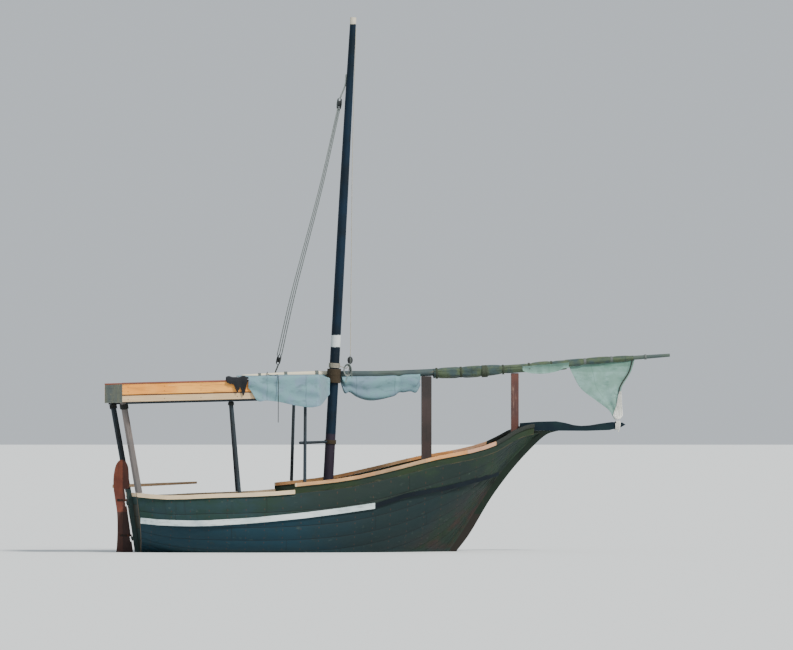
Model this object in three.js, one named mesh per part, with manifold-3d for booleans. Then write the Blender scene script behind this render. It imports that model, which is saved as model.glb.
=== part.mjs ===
// A small open sailing dhow with a sun roof over its after part, as an assembly of separate pieces.
// Millimetres. +X is forward, +Y is to port, +Z is up, and the origin is on the water, amidships.
import * as THREE from 'three';
import { mergeVertices } from 'three/addons/utils/BufferGeometryUtils.js';
import Module from 'manifold-3d';

const wasm = await Module();
wasm.setup();

// Driving dimensions
const GAP = 0.3; // between pieces that touch
const PLANK = 38; // thickness of the planking
const TIMBER = 76; // width of the keel, the stem and the sternpost
const SLICES = 9; // steps of a half section, keel to sheer
const BETWEEN = 2; // rings for each span of the station table

const BULWARK = { start: -240, end: 3760, height: 104, thick: 28, flare: 12 };
const CAP = { height: 56, outside: 26, inside: 84 };

// Stations of the planking, stern to bow. The last four are the section curve's two inner
// control points, as shares of the half breadth and of the height.
const STATION_COLUMNS = ['topX', 'topZ', 'half', 'lowX', 'lowZ', 'y1', 'h1', 'y2', 'h2'];
const STATIONS = [
  [-2700, 890, 720, -2516, -420, 0.02, 0.45, 1.0, 0.28],
  [-2200, 850, 930, -2080, -500, 0.15, 0.25, 1.06, 0.28],
  [-1500, 878, 1100, -1400, -535, 0.35, 0.1, 1.1, 0.28],
  [-700, 905, 1180, -650, -552, 0.48, 0.04, 1.1, 0.28],
  [0, 962, 1200, 0, -560, 0.55, 0.02, 1.1, 0.28],
  [700, 1050, 1190, 650, -560, 0.5, 0.04, 1.08, 0.3],
  [1400, 1205, 1110, 1250, -545, 0.38, 0.1, 1.0, 0.34],
  [2050, 1362, 950, 1750, -490, 0.25, 0.18, 0.88, 0.42],
  [2650, 1470, 725, 2190, -240, 0.22, 0.25, 0.74, 0.52],
  [3100, 1600, 500, 2530, 190, 0.25, 0.3, 0.68, 0.6],
  [3420, 1775, 330, 2885, 740, 0.3, 0.33, 0.67, 0.66],
  [3660, 1862, 185, 3295, 1330, 0.33, 0.33, 0.67, 0.67],
  [3860, 1890, 68, 3790, 1840, 0.33, 0.33, 0.67, 0.67],
].map((row) => Object.fromEntries(row.map((value, i) => [STATION_COLUMNS[i], value])));

// Side outlines of the centreline timbers, x and z
const STERN_RAKE = -0.14; // metres aft for each metre up
const STERN_X = -2575; // after face of the transom at the waterline
const POST_DEPTH = 70;
const KEEL_BOTTOM = -650;
const STEM_FRONT = [
  [2060, -600], [2330, -250], [2520, 0], [2740, 290], [3060, 820], [3320, 1180], [3535, 1440],
  [3725, 1640], [3890, 1800], [4020, 1888], [4180, 1929.7],
];
const STEM_BACK = [
  [3640, 1929.7], [3560, 1850], [3400, 1700], [3040, 1220], [2790, 870], [2470, 350], [2270, 60],
  [2090, -170], [1850, -430], [1990, -634],
];
const BEAK = [
  [3560, 1930], [4190, 1930], [4640, 1928], [5000, 1940], [5180, 1980], [5268, 2028], [5215, 2062],
  [5050, 2070], [4870, 2046], [4700, 2018], [4550, 2008], [4420, 2022], [4290, 2056], [4140, 2082],
  [3860, 2076], [3560, 2052],
];
const BEAK_WIDTH = 84;

const RUDDER = {
  axis: 85, // the pin line, aft of the transom's after face
  board: 15, // the board's front edge, aft of the pin line
  thick: 48,
  pin: 9.5,
  hole: 10,
  lugs: [-380, 200, 760],
  lugHeight: 44,
  lugReach: 15,
  // back edge of the board, x and z
  back: [
    [-2945, -600], [-2990, -300], [-2925, 60], [-2925, 640], [-2990, 980], [-2990, 1220],
    [-2930, 1440],
  ],
};
const TILLER = { z: 1045, back: -3006, front: -1650, rise: 60, thick: 26, high: 54 };

const MAST = { x: 516, z: 2180, rake: 0.0548 }; // its centreline's x at one height, and its rake
const MAST_RADII = [
  [-430, 84], [2180, 80], [3620, 76], [5780, 70], [7220, 60], [8440, 48], [8500, 30],
];

const ROOF = {
  aft: -2990, fore: 110, half: 1200, z: 2372, rise: 0.026, board: 34, deck: 28, beam: 60,
};
const BEAMS = [-2900, -2320, -1740, -1160, -580, 10]; // where they cross under the roof deck
const SIDE_BOARD = { lower: 108, groove: 16, upper: 290, trim: 26 };

// Roof posts: name, head x y z, foot x y z, half width
const POSTS = [
  ['roof_post_aft_starboard', [-2955, -960], [-2655, -690], 58],
  ['roof_post_aft_port', [-2900, 960], [-2655, 690], 50],
  ['roof_post_mid_starboard', [-1250, -1075], [-1110, -1100], 32],
  ['roof_post_mid_port', [-980, 1075], [-850, 1130], 32],
  ['roof_post_fore_starboard', [-60, -1085], [-84, -1190], 28],
  ['roof_post_fore_port', [60, 1085], [30, 1190], 28],
];

// Yard, on the port side of the mast: x, y, z of its centreline, and its radius
const YARD = [
  [-907, 190, 2790, 34], [-300, 182, 2812, 48], [450, 172, 2832, 54], [1300, 160, 2832, 56],
  [2100, 140, 2862, 56], [2740, 120, 2895, 54], [3496, 90, 2942, 50], [4190, 66, 2998, 45],
  [4836, 46, 3062, 38], [5480, 28, 3104, 33], [5995, 16, 3142, 26],
];
// Crutch posts under the yard: name, x, half sizes along x and y, drop from the yard's centreline
const CRUTCHES = [['crutch_post_aft', 2066, 78, 45, 56], ['crutch_post_fore', 3490, 60, 32, 86]];
const CLEAR = 6; // between a moving piece and a fixed one
const PARREL = { z: [2690, 2925], inner: 90, outer: 117 }; // lashing of the yard to the mast

// Gathered sail under the yard: x, drop of its middle below the yard, half height, half width
const BUNT = [
  [690, 60, 70, 70], [820, 130, 150, 80], [1100, 190, 225, 85], [1360, 190, 225, 85],
  [1700, 110, 140, 85], [1960, 60, 80, 84],
];
const FURL = [
  [2180, 20, 88, 90], [2600, 22, 92, 92], [3100, 22, 92, 92], [3390, 20, 66, 88],
  [3600, 20, 66, 86], [3900, 22, 88, 84], [4330, 20, 78, 74],
];
// Side outline of the sail that hangs to the beak, x and z
const TACK = [
  [4352, 2990], [5440, 3090], [5370, 2872], [5270, 2717], [5212, 2600], [5200, 2440], [5194, 2250],
  [5180, 2150], [5145, 2100], [5090, 2100], [5060, 2170], [4990, 2270], [4820, 2400], [4680, 2500],
  [4560, 2600], [4450, 2750],
];
const CLOTH = 26; // thickness of the sail where it hangs single
// Sail over the roof's fore end: x, how far its edge hangs below the roof's trim
const HANG = [
  [-870, 230], [-700, 265], [-520, 360], [-220, 450], [60, 480], [250, 420], [420, 290],
];

// Halyard tackle and the line down the fore side of the mast: places along them
const ROPES = {
  halyard: { radius: 15, from: [7600, 72], to: [
    [640, 40, 7180], [380, 330, 5800], [10, 760, 4180], [-190, 1040, 3150], [-260, 1150, 2780],
  ] },
  block: { middle: [[655, 30, 7270], [645, 36, 7130], [625, 48, 6980]], radii: [34, 62, 34] },
  foreLine: { radius: 9, between: [[850, -20, 6500], [812, -30, 3080]] },
};

// Interior
const TRANSOM = { thick: 42, bottom: -110, top: 884 };
const POST_TOP = 1000;
const SOLE = { z: -230, thick: 26, aft: -2150, fore: 1900 };
const BENCH = { z: 470, thick: 30, width: 330, aft: -2250, fore: -330 };
const STERN_SEAT = { z: 560, thick: 30, aft: -2600, fore: -2256 };
const THWARTS = [['thwart_aft', -290, 720, 200], ['thwart_mast', 430, 760, 260]];
const FOREDECK = { aft: 1700, fore: 3560, below: 95, thick: 30 };

// Small helpers

const at = (x, y, z) => new THREE.Vector3(x, y, z);
const last = (list) => list[list.length - 1];

// A straight-line table read at x.
function read(table, x, column = 1) {
  if (x <= table[0][0]) return table[0][column];
  const next = table.findIndex((row) => row[0] >= x);
  if (next < 0) return last(table)[column];
  const [a, b] = [table[next - 1], table[next]];
  return a[column] + ((b[column] - a[column]) * (x - a[0])) / (b[0] - a[0]);
}

// Triangles that fill a closed ring, turned the same way as the ring or the other way.
function fill(ring, same) {
  const normal = at(0, 0, 0);
  ring.forEach((p, i) => {
    const q = ring[(i + 1) % ring.length];
    normal.add(at((p.y - q.y) * (p.z + q.z), (p.z - q.z) * (p.x + q.x), (p.x - q.x) * (p.y + q.y)));
  });
  const size = [Math.abs(normal.x), Math.abs(normal.y), Math.abs(normal.z)];
  const drop = size.indexOf(Math.max(...size));
  const flat = ring.map((p) => {
    const kept = [p.x, p.y, p.z].filter((_, axis) => axis !== drop);
    return new THREE.Vector2(kept[0], kept[1]);
  });
  const triangles = THREE.ShapeUtils.triangulateShape(flat, []);
  const areas = triangles.map((corners) => THREE.ShapeUtils.area(corners.map((i) => flat[i])));
  const agrees = areas.reduce((a, b) => a + b) * THREE.ShapeUtils.area(flat) > 0;
  return triangles.flatMap(([a, b, c]) => (agrees === same ? [a, b, c] : [a, c, b]));
}

// A closed body through rings of equal length, with both ends filled and its faces outwards.
function loft(rings) {
  const count = rings[0].length;
  const faces = fill(rings[0], false);
  const end = (rings.length - 1) * count;
  fill(last(rings), true).forEach((i) => faces.push(end + i));
  for (let r = 0; r + 1 < rings.length; r++) {
    for (let i = 0; i < count; i++) {
      const [a, b] = [r * count + i, r * count + ((i + 1) % count)];
      faces.push(a, b, b + count, a, b + count, a + count);
    }
  }
  const points = rings.flat();
  let volume = 0;
  for (let f = 0; f < faces.length; f += 3) {
    volume += points[faces[f]].dot(points[faces[f + 1]].clone().cross(points[faces[f + 2]]));
  }
  if (volume < 0) faces.reverse();
  const places = points.flatMap((p) => [p.x, p.y, p.z]);
  const geometry = new THREE.BufferGeometry();
  geometry.setAttribute('position', new THREE.Float32BufferAttribute(places, 3));
  geometry.setIndex(faces);
  return geometry;
}

function solid(geometry) {
  const bare = geometry.clone();
  bare.deleteAttribute('normal');
  bare.deleteAttribute('uv');
  const merged = mergeVertices(bare, 1e-3);
  return new wasm.Manifold(new wasm.Mesh({
    numProp: 3,
    vertProperties: merged.attributes.position.array,
    triVerts: new Uint32Array(merged.index.array),
  }));
}

function geometryOf(manifold) {
  const mesh = manifold.getMesh();
  const geometry = new THREE.BufferGeometry();
  geometry.setAttribute('position', new THREE.Float32BufferAttribute(mesh.vertProperties, 3));
  geometry.setIndex([...mesh.triVerts]);
  return geometry;
}

const cut = (from, ...tools) => (
  geometryOf(tools.reduce((left, tool) => left.subtract(solid(tool)), solid(from)))
);
const join = (...parts) => geometryOf(parts.map(solid).reduce((a, b) => a.add(b)));
const common = (a, b) => geometryOf(solid(a).intersect(solid(b)));

function mirrored(geometry) {
  const copy = geometry.clone().applyMatrix4(new THREE.Matrix4().makeScale(1, -1, 1));
  copy.setIndex([...copy.index.array].reverse());
  return copy;
}

function block([x0, x1], [y0, y1], [z0, z1]) {
  const box = new THREE.BoxGeometry(x1 - x0, y1 - y0, z1 - z0);
  return box.translate((x0 + x1) / 2, (y0 + y1) / 2, (z0 + z1) / 2);
}

// A side outline in x and z, as thick as the width says, across the centreline or at y.
function plate(outline, width, y = 0) {
  return loft([-width / 2, width / 2].map((side) => outline.map(([x, z]) => at(x, y + side, z))));
}

// The direction of a run of points at one of them.
function direction(points, i) {
  const next = points[Math.min(i + 1, points.length - 1)];
  return next.clone().sub(points[Math.max(i - 1, 0)]).normalize();
}

// A round or square spar through points with a radius at each.
function spar(points, radii, sides = 12, turn = 0) {
  const rings = points.map((point, i) => {
    const along = direction(points, i);
    const side = Math.abs(along.y) > 0.9 ? at(1, 0, 0) : at(0, 1, 0);
    const u = side.clone().cross(along).normalize();
    const v = along.clone().cross(u);
    return Array.from({ length: sides }, (_, k) => {
      const angle = (k / sides) * 2 * Math.PI + turn;
      return point.clone()
        .addScaledVector(u, radii[i] * Math.cos(angle))
        .addScaledVector(v, radii[i] * Math.sin(angle));
    });
  });
  return loft(rings);
}

// A strip that follows a path. Each path point has its place and its outward direction; each
// corner of the section has how far out and how far up it is.
function strip(path, corners) {
  return loft(path.map(({ place, out }) => corners.map(([aside, up]) => (
    place.clone().addScaledVector(out, aside).setZ(place.z + up)
  ))));
}

// The hull's surface

// The station at a share s of the table, by a smooth curve through its rows.
function stationAt(s) {
  const place = s * (STATIONS.length - 1);
  const i = Math.min(Math.floor(place), STATIONS.length - 2);
  const t = place - i;
  const row = (k) => STATIONS[Math.min(Math.max(k, 0), STATIONS.length - 1)];
  return Object.fromEntries(STATION_COLUMNS.map((key) => {
    const [a, b, c, d] = [row(i - 1)[key], row(i)[key], row(i + 1)[key], row(i + 2)[key]];
    const value = b + 0.5 * t * (c - a + t * (2 * a - 5 * b + 4 * c - d + t * (3 * (b - c) + d - a)));
    return [key, value];
  }));
}

// A point of the planking's outside on the port side, set in by a wall.
function hullPoint(station, t, inset = 0) {
  const k = 1 - t;
  const height = Math.hypot(station.topX - station.lowX, station.topZ - station.lowZ);
  const y = station.half * (3 * k * k * t * station.y1 + 3 * k * t * t * station.y2 + t ** 3);
  const h = 3 * k * k * t * station.h1 + 3 * k * t * t * station.h2 + t ** 3;
  const slope = (a, b) => k * k * a + 2 * k * t * (b - a) + t * t * (1 - b);
  const dy = station.half * slope(station.y1, station.y2);
  const dh = height * slope(station.h1, station.h2);
  const size = Math.hypot(dy, dh);
  const share = h + ((inset * dy) / size) / height;
  return at(
    station.lowX + (station.topX - station.lowX) * share,
    Math.max(y - (inset * dh) / size, 0),
    station.lowZ + (station.topZ - station.lowZ) * share,
  );
}

const RINGS = (STATIONS.length - 1) * BETWEEN;

// The hull's closed body, set in by a wall, with its top raised and its after end drawn out.
function hullBody(inset = 0, raise = 0, drawn = 0) {
  const rings = Array.from({ length: RINGS + 1 }, (_, r) => {
    const station = stationAt(r / RINGS);
    const side = Array.from({ length: SLICES + 1 }, (_, i) => hullPoint(station, i / SLICES, inset));
    const low = side[0].setY(0);
    const port = side.slice(1).map((p) => at(p.x, Math.max(p.y, 0.5), p.z));
    if (raise) port.push(last(port).clone().add(at(0, 0, raise)));
    const starboard = port.map((p) => at(p.x, -p.y, p.z));
    return [...port.reverse(), low, ...starboard];
  });
  if (drawn) rings.unshift(rings[0].map((p) => p.clone().add(at(-drawn, 0, 0))));
  return loft(rings);
}

// The share of the table where the top of the planking is at x.
function shareAtTop(x) {
  let [low, high] = [0, 1];
  for (let i = 0; i < 40; i++) {
    const mid = (low + high) / 2;
    if (stationAt(mid).topX < x) low = mid;
    else high = mid;
  }
  return (low + high) / 2;
}

// The planking's outside on the port side at x and z.
function skin(x, z) {
  let [low, high] = [0, 1];
  let point = at(x, 0, z);
  for (let i = 0; i < 30; i++) {
    const mid = (low + high) / 2;
    const station = stationAt(mid);
    let [t0, t1] = [0, 1];
    for (let j = 0; j < 24; j++) {
      const t = (t0 + t1) / 2;
      point = hullPoint(station, t);
      if (point.z < z) t0 = t;
      else t1 = t;
    }
    if (point.x < x) low = mid;
    else high = mid;
  }
  return point;
}

// Outward directions in plan for a run of places.
function withOut(places) {
  return places.map((place, i) => {
    const along = direction(places, i);
    return { place, out: at(-along.y, along.x, 0).normalize() };
  });
}

// Places along the top of the planking, from one x to another, on the port side.
function sheer(from, to, lift = 0) {
  const [s0, s1] = [shareAtTop(from), shareAtTop(to)];
  const steps = Math.max(2, Math.ceil((s1 - s0) * RINGS));
  return withOut(Array.from({ length: steps + 1 }, (_, i) => {
    const p = hullPoint(stationAt(s0 + ((s1 - s0) * i) / steps), 1);
    return p.setZ(p.z + lift);
  }));
}

const sternX = (z, aft = 0) => STERN_X + STERN_RAKE * z - aft;
const mastX = (z) => MAST.x + MAST.rake * (z - MAST.z);
const roofZ = (x) => ROOF.z + ROOF.rise * (x - ROOF.aft);

const outside = hullBody();
const inside = hullBody(PLANK, 80, 120);
const room = hullBody(PLANK + GAP, 80, 120);
const proud = hullBody(-2 * GAP);
const cover = proud.clone().translate(0, 0, 1.5 * GAP);
const shell = cut(outside, inside);

const pieces = [];
const add = (name, geometry, finish) => pieces.push([name, geometry, finish]);
// A piece on each side, from its port shape, trimmed by the same bodies.
const addPair = (name, port, finish, ...trims) => {
  add(name + '_port', cut(port, ...trims), finish);
  add(name + '_starboard', cut(mirrored(port), ...trims), finish);
};

// Planking, in two halves with the centreline timbers between them
const CUT = TIMBER / 2 + GAP;
const FAR = 9000;
add('planking_port', common(shell, block([-FAR, FAR], [CUT, FAR], [-FAR, FAR])), 'planking');
add('planking_starboard', common(shell, block([-FAR, FAR], [-FAR, -CUT], [-FAR, FAR])), 'planking');

// Keel with its deadwood, stem, beak and sternpost
const KEEL_TOP = [
  [1850, -430], [1250, -465], [0, -485], [-1400, -455], [-2080, -340], [sternX(-115), -115],
];
add('keel', plate([
  [sternX(KEEL_BOTTOM), KEEL_BOTTOM], [1990, -634], ...KEEL_TOP,
].map(([x, z]) => [x - (x > 1800 ? GAP : 0), z]), TIMBER), 'underwater');
add('stem', plate([...STEM_FRONT, ...STEM_BACK], TIMBER), 'stem');
add('beak', plate(BEAK, BEAK_WIDTH), 'beak');

// Rudder hangings: lugs on the post with a hole, lugs with a pin on the rudder
const axisX = (z) => sternX(z, RUDDER.axis);
const lean = (z0, z1, fore, aft) => [
  [axisX(z0) + fore, z0], [axisX(z1) + fore, z1], [axisX(z1) - aft, z1], [axisX(z0) - aft, z0],
];
const pin = (z0, z1, radius) => spar([at(axisX(z0), 0, z0), at(axisX(z1), 0, z1)], [radius, radius], 10);
const postLugs = RUDDER.lugs.map((z) => cut(
  plate(lean(z, z + RUDDER.lugHeight, RUDDER.axis - POST_DEPTH + 8, RUDDER.lugReach), 44),
  pin(z - 10, z + RUDDER.lugHeight + 10, RUDDER.hole),
));
add('sternpost', join(plate([
  [sternX(KEEL_BOTTOM, GAP), KEEL_BOTTOM], [sternX(POST_TOP, GAP), POST_TOP],
  [sternX(POST_TOP, POST_DEPTH), POST_TOP], [sternX(KEEL_BOTTOM, POST_DEPTH), KEEL_BOTTOM],
], TIMBER), ...postLugs), 'sternpost');

// Transom, inside the ends of the planks
const transomZone = plate([
  [sternX(TRANSOM.bottom), TRANSOM.bottom], [sternX(TRANSOM.top), TRANSOM.top],
  [sternX(TRANSOM.top, -TRANSOM.thick), TRANSOM.top],
  [sternX(TRANSOM.bottom, -TRANSOM.thick), TRANSOM.bottom],
], 3000);
add('transom', common(room, transomZone), 'planking');

// Rudder and tiller
const gripZ = TILLER.z + TILLER.rise;
const tillerBar = (grow) => plate([
  [TILLER.back, TILLER.z - TILLER.high / 2 - grow], [TILLER.front, gripZ - TILLER.high / 3],
  [TILLER.front, gripZ + TILLER.high / 3], [TILLER.back, TILLER.z + TILLER.high / 2 + grow],
], TILLER.thick + 2 * grow);
const board = plate([
  ...RUDDER.back, [axisX(1470) - 60, 1470], [-2800, 1430], [-2745, 1400], [-2740, 1010],
  [axisX(1000) - RUDDER.board, 1000], [axisX(-600) - RUDDER.board, -600],
], RUDDER.thick);
const notches = RUDDER.lugs.map((z) => plate(lean(z - 30, z + RUDDER.lugHeight + 8, 60, 34), 120));
const pintles = RUDDER.lugs.map((z) => join(
  plate(lean(z + RUDDER.lugHeight + 4, z + RUDDER.lugHeight + 40, 0, RUDDER.board + 26), 34),
  pin(z - 20, z + RUDDER.lugHeight + 20, RUDDER.pin),
));
add('rudder', join(cut(board, ...notches, tillerBar(GAP)), ...pintles), 'rudder');
add('tiller', tillerBar(0), 'tiller');

// Gunwale caps aft, bulwarks with their caps forward
const section = (inner, outer, low, high, flare = 0) => [
  [-inner, low], [outer, low], [outer + flare, high], [flare - inner, high],
];
const LIP = 8; // how far a cap or a wall reaches down beside what it sits on
addPair('gunwale_cap', strip(
  sheer(-2690, BULWARK.start - 2), section(CAP.inside, CAP.outside, -LIP, CAP.height),
), 'cap', cover, proud);
const wallPath = sheer(BULWARK.start, BULWARK.end);
const wall = strip(wallPath, section(BULWARK.thick, 0, -LIP, BULWARK.height, BULWARK.flare));
addPair('bulwark', wall, 'bulwark', cover, proud);
addPair('bulwark_cap', strip(wallPath, section(
  46 - BULWARK.flare, 34, BULWARK.height + 3 * GAP, BULWARK.height + CAP.height,
)), 'cap');
const transomTop = TRANSOM.top + GAP;
add('transom_cap', plate([
  [sternX(transomTop), transomTop], [sternX(transomTop + CAP.height), transomTop + CAP.height],
  [sternX(transomTop, -70), transomTop + CAP.height], [sternX(transomTop, -70), transomTop],
], 1260), 'cap');

// Rub rails: the white one along the waist, the dark wale forward of it
const rubPath = (table, steps) => {
  const [x0, x1] = [table[0][0], last(table)[0]];
  return withOut(Array.from({ length: steps + 1 }, (_, i) => {
    const x = x0 + ((x1 - x0) * i) / steps;
    return skin(x, read(table, x));
  }));
};
const RUB_SINK = 40;
const railSection = (half, out) => [[-RUB_SINK, -half], [out, -half], [out, half], [-RUB_SINK, half]];
const WHITE_LINE = [
  [-2630, 508], [-2300, 474], [-1700, 462], [-900, 512], [-130, 586], [520, 668], [1040, 742],
];
const WALE_LINE = [[1046, 743], [1560, 905], [2330, 1035], [2930, 1182], [3180, 1250]];
addPair('rub_rail', strip(rubPath(WHITE_LINE, 14), railSection(46, 24)), 'stripe', proud);
addPair('wale', strip(rubPath(WALE_LINE, 9), railSection(36, 22)), 'wale', proud);

// Inside: sole, benches, thwarts, foredeck
const outsideRoom = cut(block([-1000, 1500], [-2000, 2000], [-900, 400]), room);
const mastBar = (grow) => spar(
  MAST_RADII.map(([z], i) => at(mastX(z), 0, i ? z : z - grow)),
  MAST_RADII.map(([, r]) => r + grow), 16,
);
const wideMast = mastBar(GAP);
const clearMast = mastBar(CLEAR);
const level = (x0, x1, z, thick) => block([x0, x1], [-2000, 2000], [z - thick, z]);
add('sole', cut(common(room, level(SOLE.aft, SOLE.fore, SOLE.z, SOLE.thick)), clearMast), 'sole');
const benchFull = common(room, level(BENCH.aft, BENCH.fore, BENCH.z, BENCH.thick));
const benchRuns = sheer(BENCH.aft - 100, BENCH.fore + 100).map(({ place }) => place);
const benchInner = read(benchRuns.map((p) => [p.x, p.y]), BENCH.aft) - PLANK - BENCH.width;
add('bench_port', common(benchFull, block([-FAR, FAR], [benchInner, FAR], [-FAR, FAR])), 'inside');
add('bench_starboard', common(benchFull, block([-FAR, FAR], [-FAR, -benchInner], [-FAR, FAR])), 'inside');
const seat = level(STERN_SEAT.aft, STERN_SEAT.fore, STERN_SEAT.z, STERN_SEAT.thick);
add('stern_seat', common(room, seat), 'inside');
THWARTS.forEach(([name, x, z, width]) => {
  add(name, cut(common(room, level(x - width / 2, x + width / 2, z, 50)), wideMast), 'inside');
});
const deckZ = (x) => stationAt(shareAtTop(x)).topZ - FOREDECK.below;
const deckLine = [FOREDECK.aft, 2100, 2600, 3000, 3300, FOREDECK.fore].map((x) => [x, deckZ(x)]);
const deckSlab = plate([
  ...deckLine, ...deckLine.slice().reverse().map(([x, z]) => [x, z - FOREDECK.thick]),
], 3000);
const stemWide = plate([...STEM_FRONT, ...STEM_BACK.map(([x, z]) => [x - 2 * GAP, z])], TIMBER + 2 * GAP);
add('foredeck', cut(common(room, deckSlab), stemWide), 'deck');
add('mast_step', cut(plate([
  [180, -481.6], [620, -474.6], [580, -350], [220, -350],
], 240), wideMast, outsideRoom), 'inside');
add('mast', mastBar(0), 'mast');

// Roof: deck with its beams, side boards, trims, end boards and posts
function roofStrip([x0, x1], [y0, y1], [z0, z1]) {
  return loft([x0, x1].map((x) => {
    const z = roofZ(x);
    return [at(x, y0, z + z0), at(x, y1, z + z0), at(x, y1, z + z1), at(x, y0, z + z1)];
  }));
}
const inner = ROOF.half - ROOF.board - GAP;
const deckLevel = [ROOF.beam, ROOF.beam + ROOF.deck];
const ends = [ROOF.aft + ROOF.board + GAP, ROOF.fore - ROOF.board - GAP];
const roofBeams = BEAMS.map((x) => (
  roofStrip([x - 25, x + 25], [-inner, inner], [14, ROOF.beam + 1])
));
const stringers = [[925, 1110], [-1110, -925]].map((across) => (
  roofStrip(ends, across, [0, ROOF.beam + 1])
));
const roofSheet = roofStrip(ends, [-inner, inner], deckLevel);
add('roof_deck', join(roofSheet, ...stringers, ...roofBeams), 'roof_deck');
const GROOVE = 12;
const boardSection = [
  [ROOF.half - ROOF.board, 0], [ROOF.half, 0], [ROOF.half, SIDE_BOARD.lower],
  [ROOF.half - GROOVE, SIDE_BOARD.lower], [ROOF.half - GROOVE, SIDE_BOARD.lower + SIDE_BOARD.groove],
  [ROOF.half, SIDE_BOARD.lower + SIDE_BOARD.groove], [ROOF.half, SIDE_BOARD.upper],
  [ROOF.half - ROOF.board, SIDE_BOARD.upper],
];
addPair('roof_side_board', loft([ROOF.aft, ROOF.fore].map((x) => (
  boardSection.map(([y, z]) => at(x, y, roofZ(x) + z))
))), 'side_board');
addPair('roof_trim', roofStrip(
  [ROOF.aft, ROOF.fore], [ROOF.half - ROOF.board - 10, ROOF.half + 8],
  [SIDE_BOARD.upper + GAP, SIDE_BOARD.upper + SIDE_BOARD.trim],
), 'trim');
[['roof_aft_board', ROOF.aft], ['roof_fore_board', ROOF.fore - ROOF.board]].forEach(([name, x]) => {
  add(name, roofStrip([x, x + ROOF.board], [-inner, inner], [0, SIDE_BOARD.upper]), 'end_board');
});
POSTS.forEach(([name, head, foot, half]) => {
  const capTop = foot[0] < BULWARK.start ? CAP.height : BULWARK.height + CAP.height;
  const sheerLine = sheer(-2690, 400).map(({ place }) => [place.x, place.z]);
  const under = [-half, half].map((side) => read(sheerLine, foot[0] + side));
  const footZ = capTop + GAP + Math.max(...under);
  const post = spar(
    [at(foot[0], foot[1], footZ - 60), at(head[0], head[1], roofZ(head[0]) + 60)],
    [half, half * 0.9], 8, Math.PI / 8,
  );
  const below = block([-4000, 1000], [-2000, 2000], [0, footZ]);
  const above = roofStrip([-4000, 1000], [-2000, 2000], [-GAP, 500]);
  add(name, cut(post, below, above), name.includes('aft_starboard') ? 'post_light' : 'post_dark');
});

// Crutch posts that the yard lies over
const yardY = (x) => read(YARD, x, 1);
const yardZ = (x) => read(YARD, x, 2);
CRUTCHES.forEach(([name, x, half, halfY, drop]) => {
  const foot = read(deckLine, x + half) + GAP;
  const top = yardZ(x - half) - drop - GAP;
  add(name, block([x - half, x + half], [yardY(x) - halfY, yardY(x) + halfY], [foot, top]), 'crutch');
});

// Yard, parrel and sail
const yardBar = (grow) => spar(
  YARD.map(([x, y, z]) => at(x, y, z)), YARD.map((row) => last(row) + grow), 12,
);
add('yard', yardBar(0), 'yard');
const wideYard = yardBar(GAP);
const parrelBar = (radius, over) => spar(
  [PARREL.z[0] - over, PARREL.z[1] + over].map((z) => at(mastX(z), 0, z)), [radius, radius], 20,
);
add('parrel', cut(parrelBar(PARREL.outer, 0), parrelBar(PARREL.inner, 20), wideYard), 'rope');

// A closed bundle of sail under the yard.
function bundle(rows, sides = 12) {
  return loft(rows.map(([x, drop, high, wide]) => {
    return Array.from({ length: sides }, (_, i) => {
      const angle = (i / sides) * 2 * Math.PI;
      return at(x, yardY(x) + wide * Math.cos(angle), yardZ(x) - drop + high * Math.sin(angle));
    });
  }));
}
add('sail_bunt_mid', cut(bundle(BUNT), wideYard), 'sail');
add('sail_furl', cut(bundle(FURL), wideYard), 'sail');
const tack = loft([-CLOTH / 2, CLOTH / 2].map((side) => TACK.map(([x, z]) => at(x, yardY(x) + side, z))));
add('sail_tack', cut(tack, wideYard), 'sail');
// The after bunt lies across the roof's fore end and hangs over its starboard side.
const overRoof = (x) => roofZ(x) + SIDE_BOARD.upper + SIDE_BOARD.trim + CLEAR;
const edge = -(ROOF.half + 8 + CLEAR);
add('sail_bunt_aft', cut(loft(HANG.map(([x, drop]) => {
  const z = overRoof(x);
  const high = yardY(x) + 60;
  return [
    at(x, high, z), at(x, high, z + 60), at(x, -600, z + 80), at(x, edge - 10, z + 60),
    at(x, edge - 46, z + 20), at(x, edge - 46, z - drop), at(x, edge, z - drop), at(x, edge, z),
  ];
})), wideYard, clearMast), 'sail');

// Halyard tackle to port, and the line down the fore side of the mast
const rope = (points, radius) => spar(points.map((p) => at(...p)), points.map(() => radius), 8);
const { halyard, block: tackleBlock, foreLine } = ROPES;
const [headZ, headAft] = halyard.from;
add('halyard', join(
  rope([[mastX(headZ) - headAft, 0, headZ], ...halyard.to], halyard.radius),
  spar(tackleBlock.middle.map((p) => at(...p)), tackleBlock.radii, 8),
), 'rope');
add('fore_line', rope([
  [mastX(8350) + 58.2, 0, 8350], ...foreLine.between, [mastX(2960) + 88, -12, 2960],
], foreLine.radius), 'rope');

const FINISHES = {
  planking: [0x3f5552, 0.75], underwater: [0x5a3f3a, 0.8], stem: [0x2c3436, 0.75], beak: [0x14202a, 0.7],
  sternpost: [0x3a4a4c, 0.8], rudder: [0x7a4038, 0.75], tiller: [0xc9a884, 0.7], cap: [0xcdb28a, 0.75],
  bulwark: [0x3c4a30, 0.8], stripe: [0xd8e4e4, 0.6], wale: [0x27312f, 0.7], inside: [0x8a6b4a, 0.8],
  sole: [0x7c6248, 0.85], deck: [0x6a5844, 0.8], mast: [0x16394d, 0.6], roof_deck: [0x6f5236, 0.8],
  side_board: [0xe8b878, 0.7], trim: [0x8a4a38, 0.7], end_board: [0x3c3a34, 0.8],
  post_light: [0xb09a8e, 0.75], post_dark: [0x1c2c33, 0.7], crutch: [0x6b3d35, 0.75],
  yard: [0x3c4a4c, 0.7], sail: [0xa9c4c0, 0.95], rope: [0x9aa39a, 0.9],
};

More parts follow.
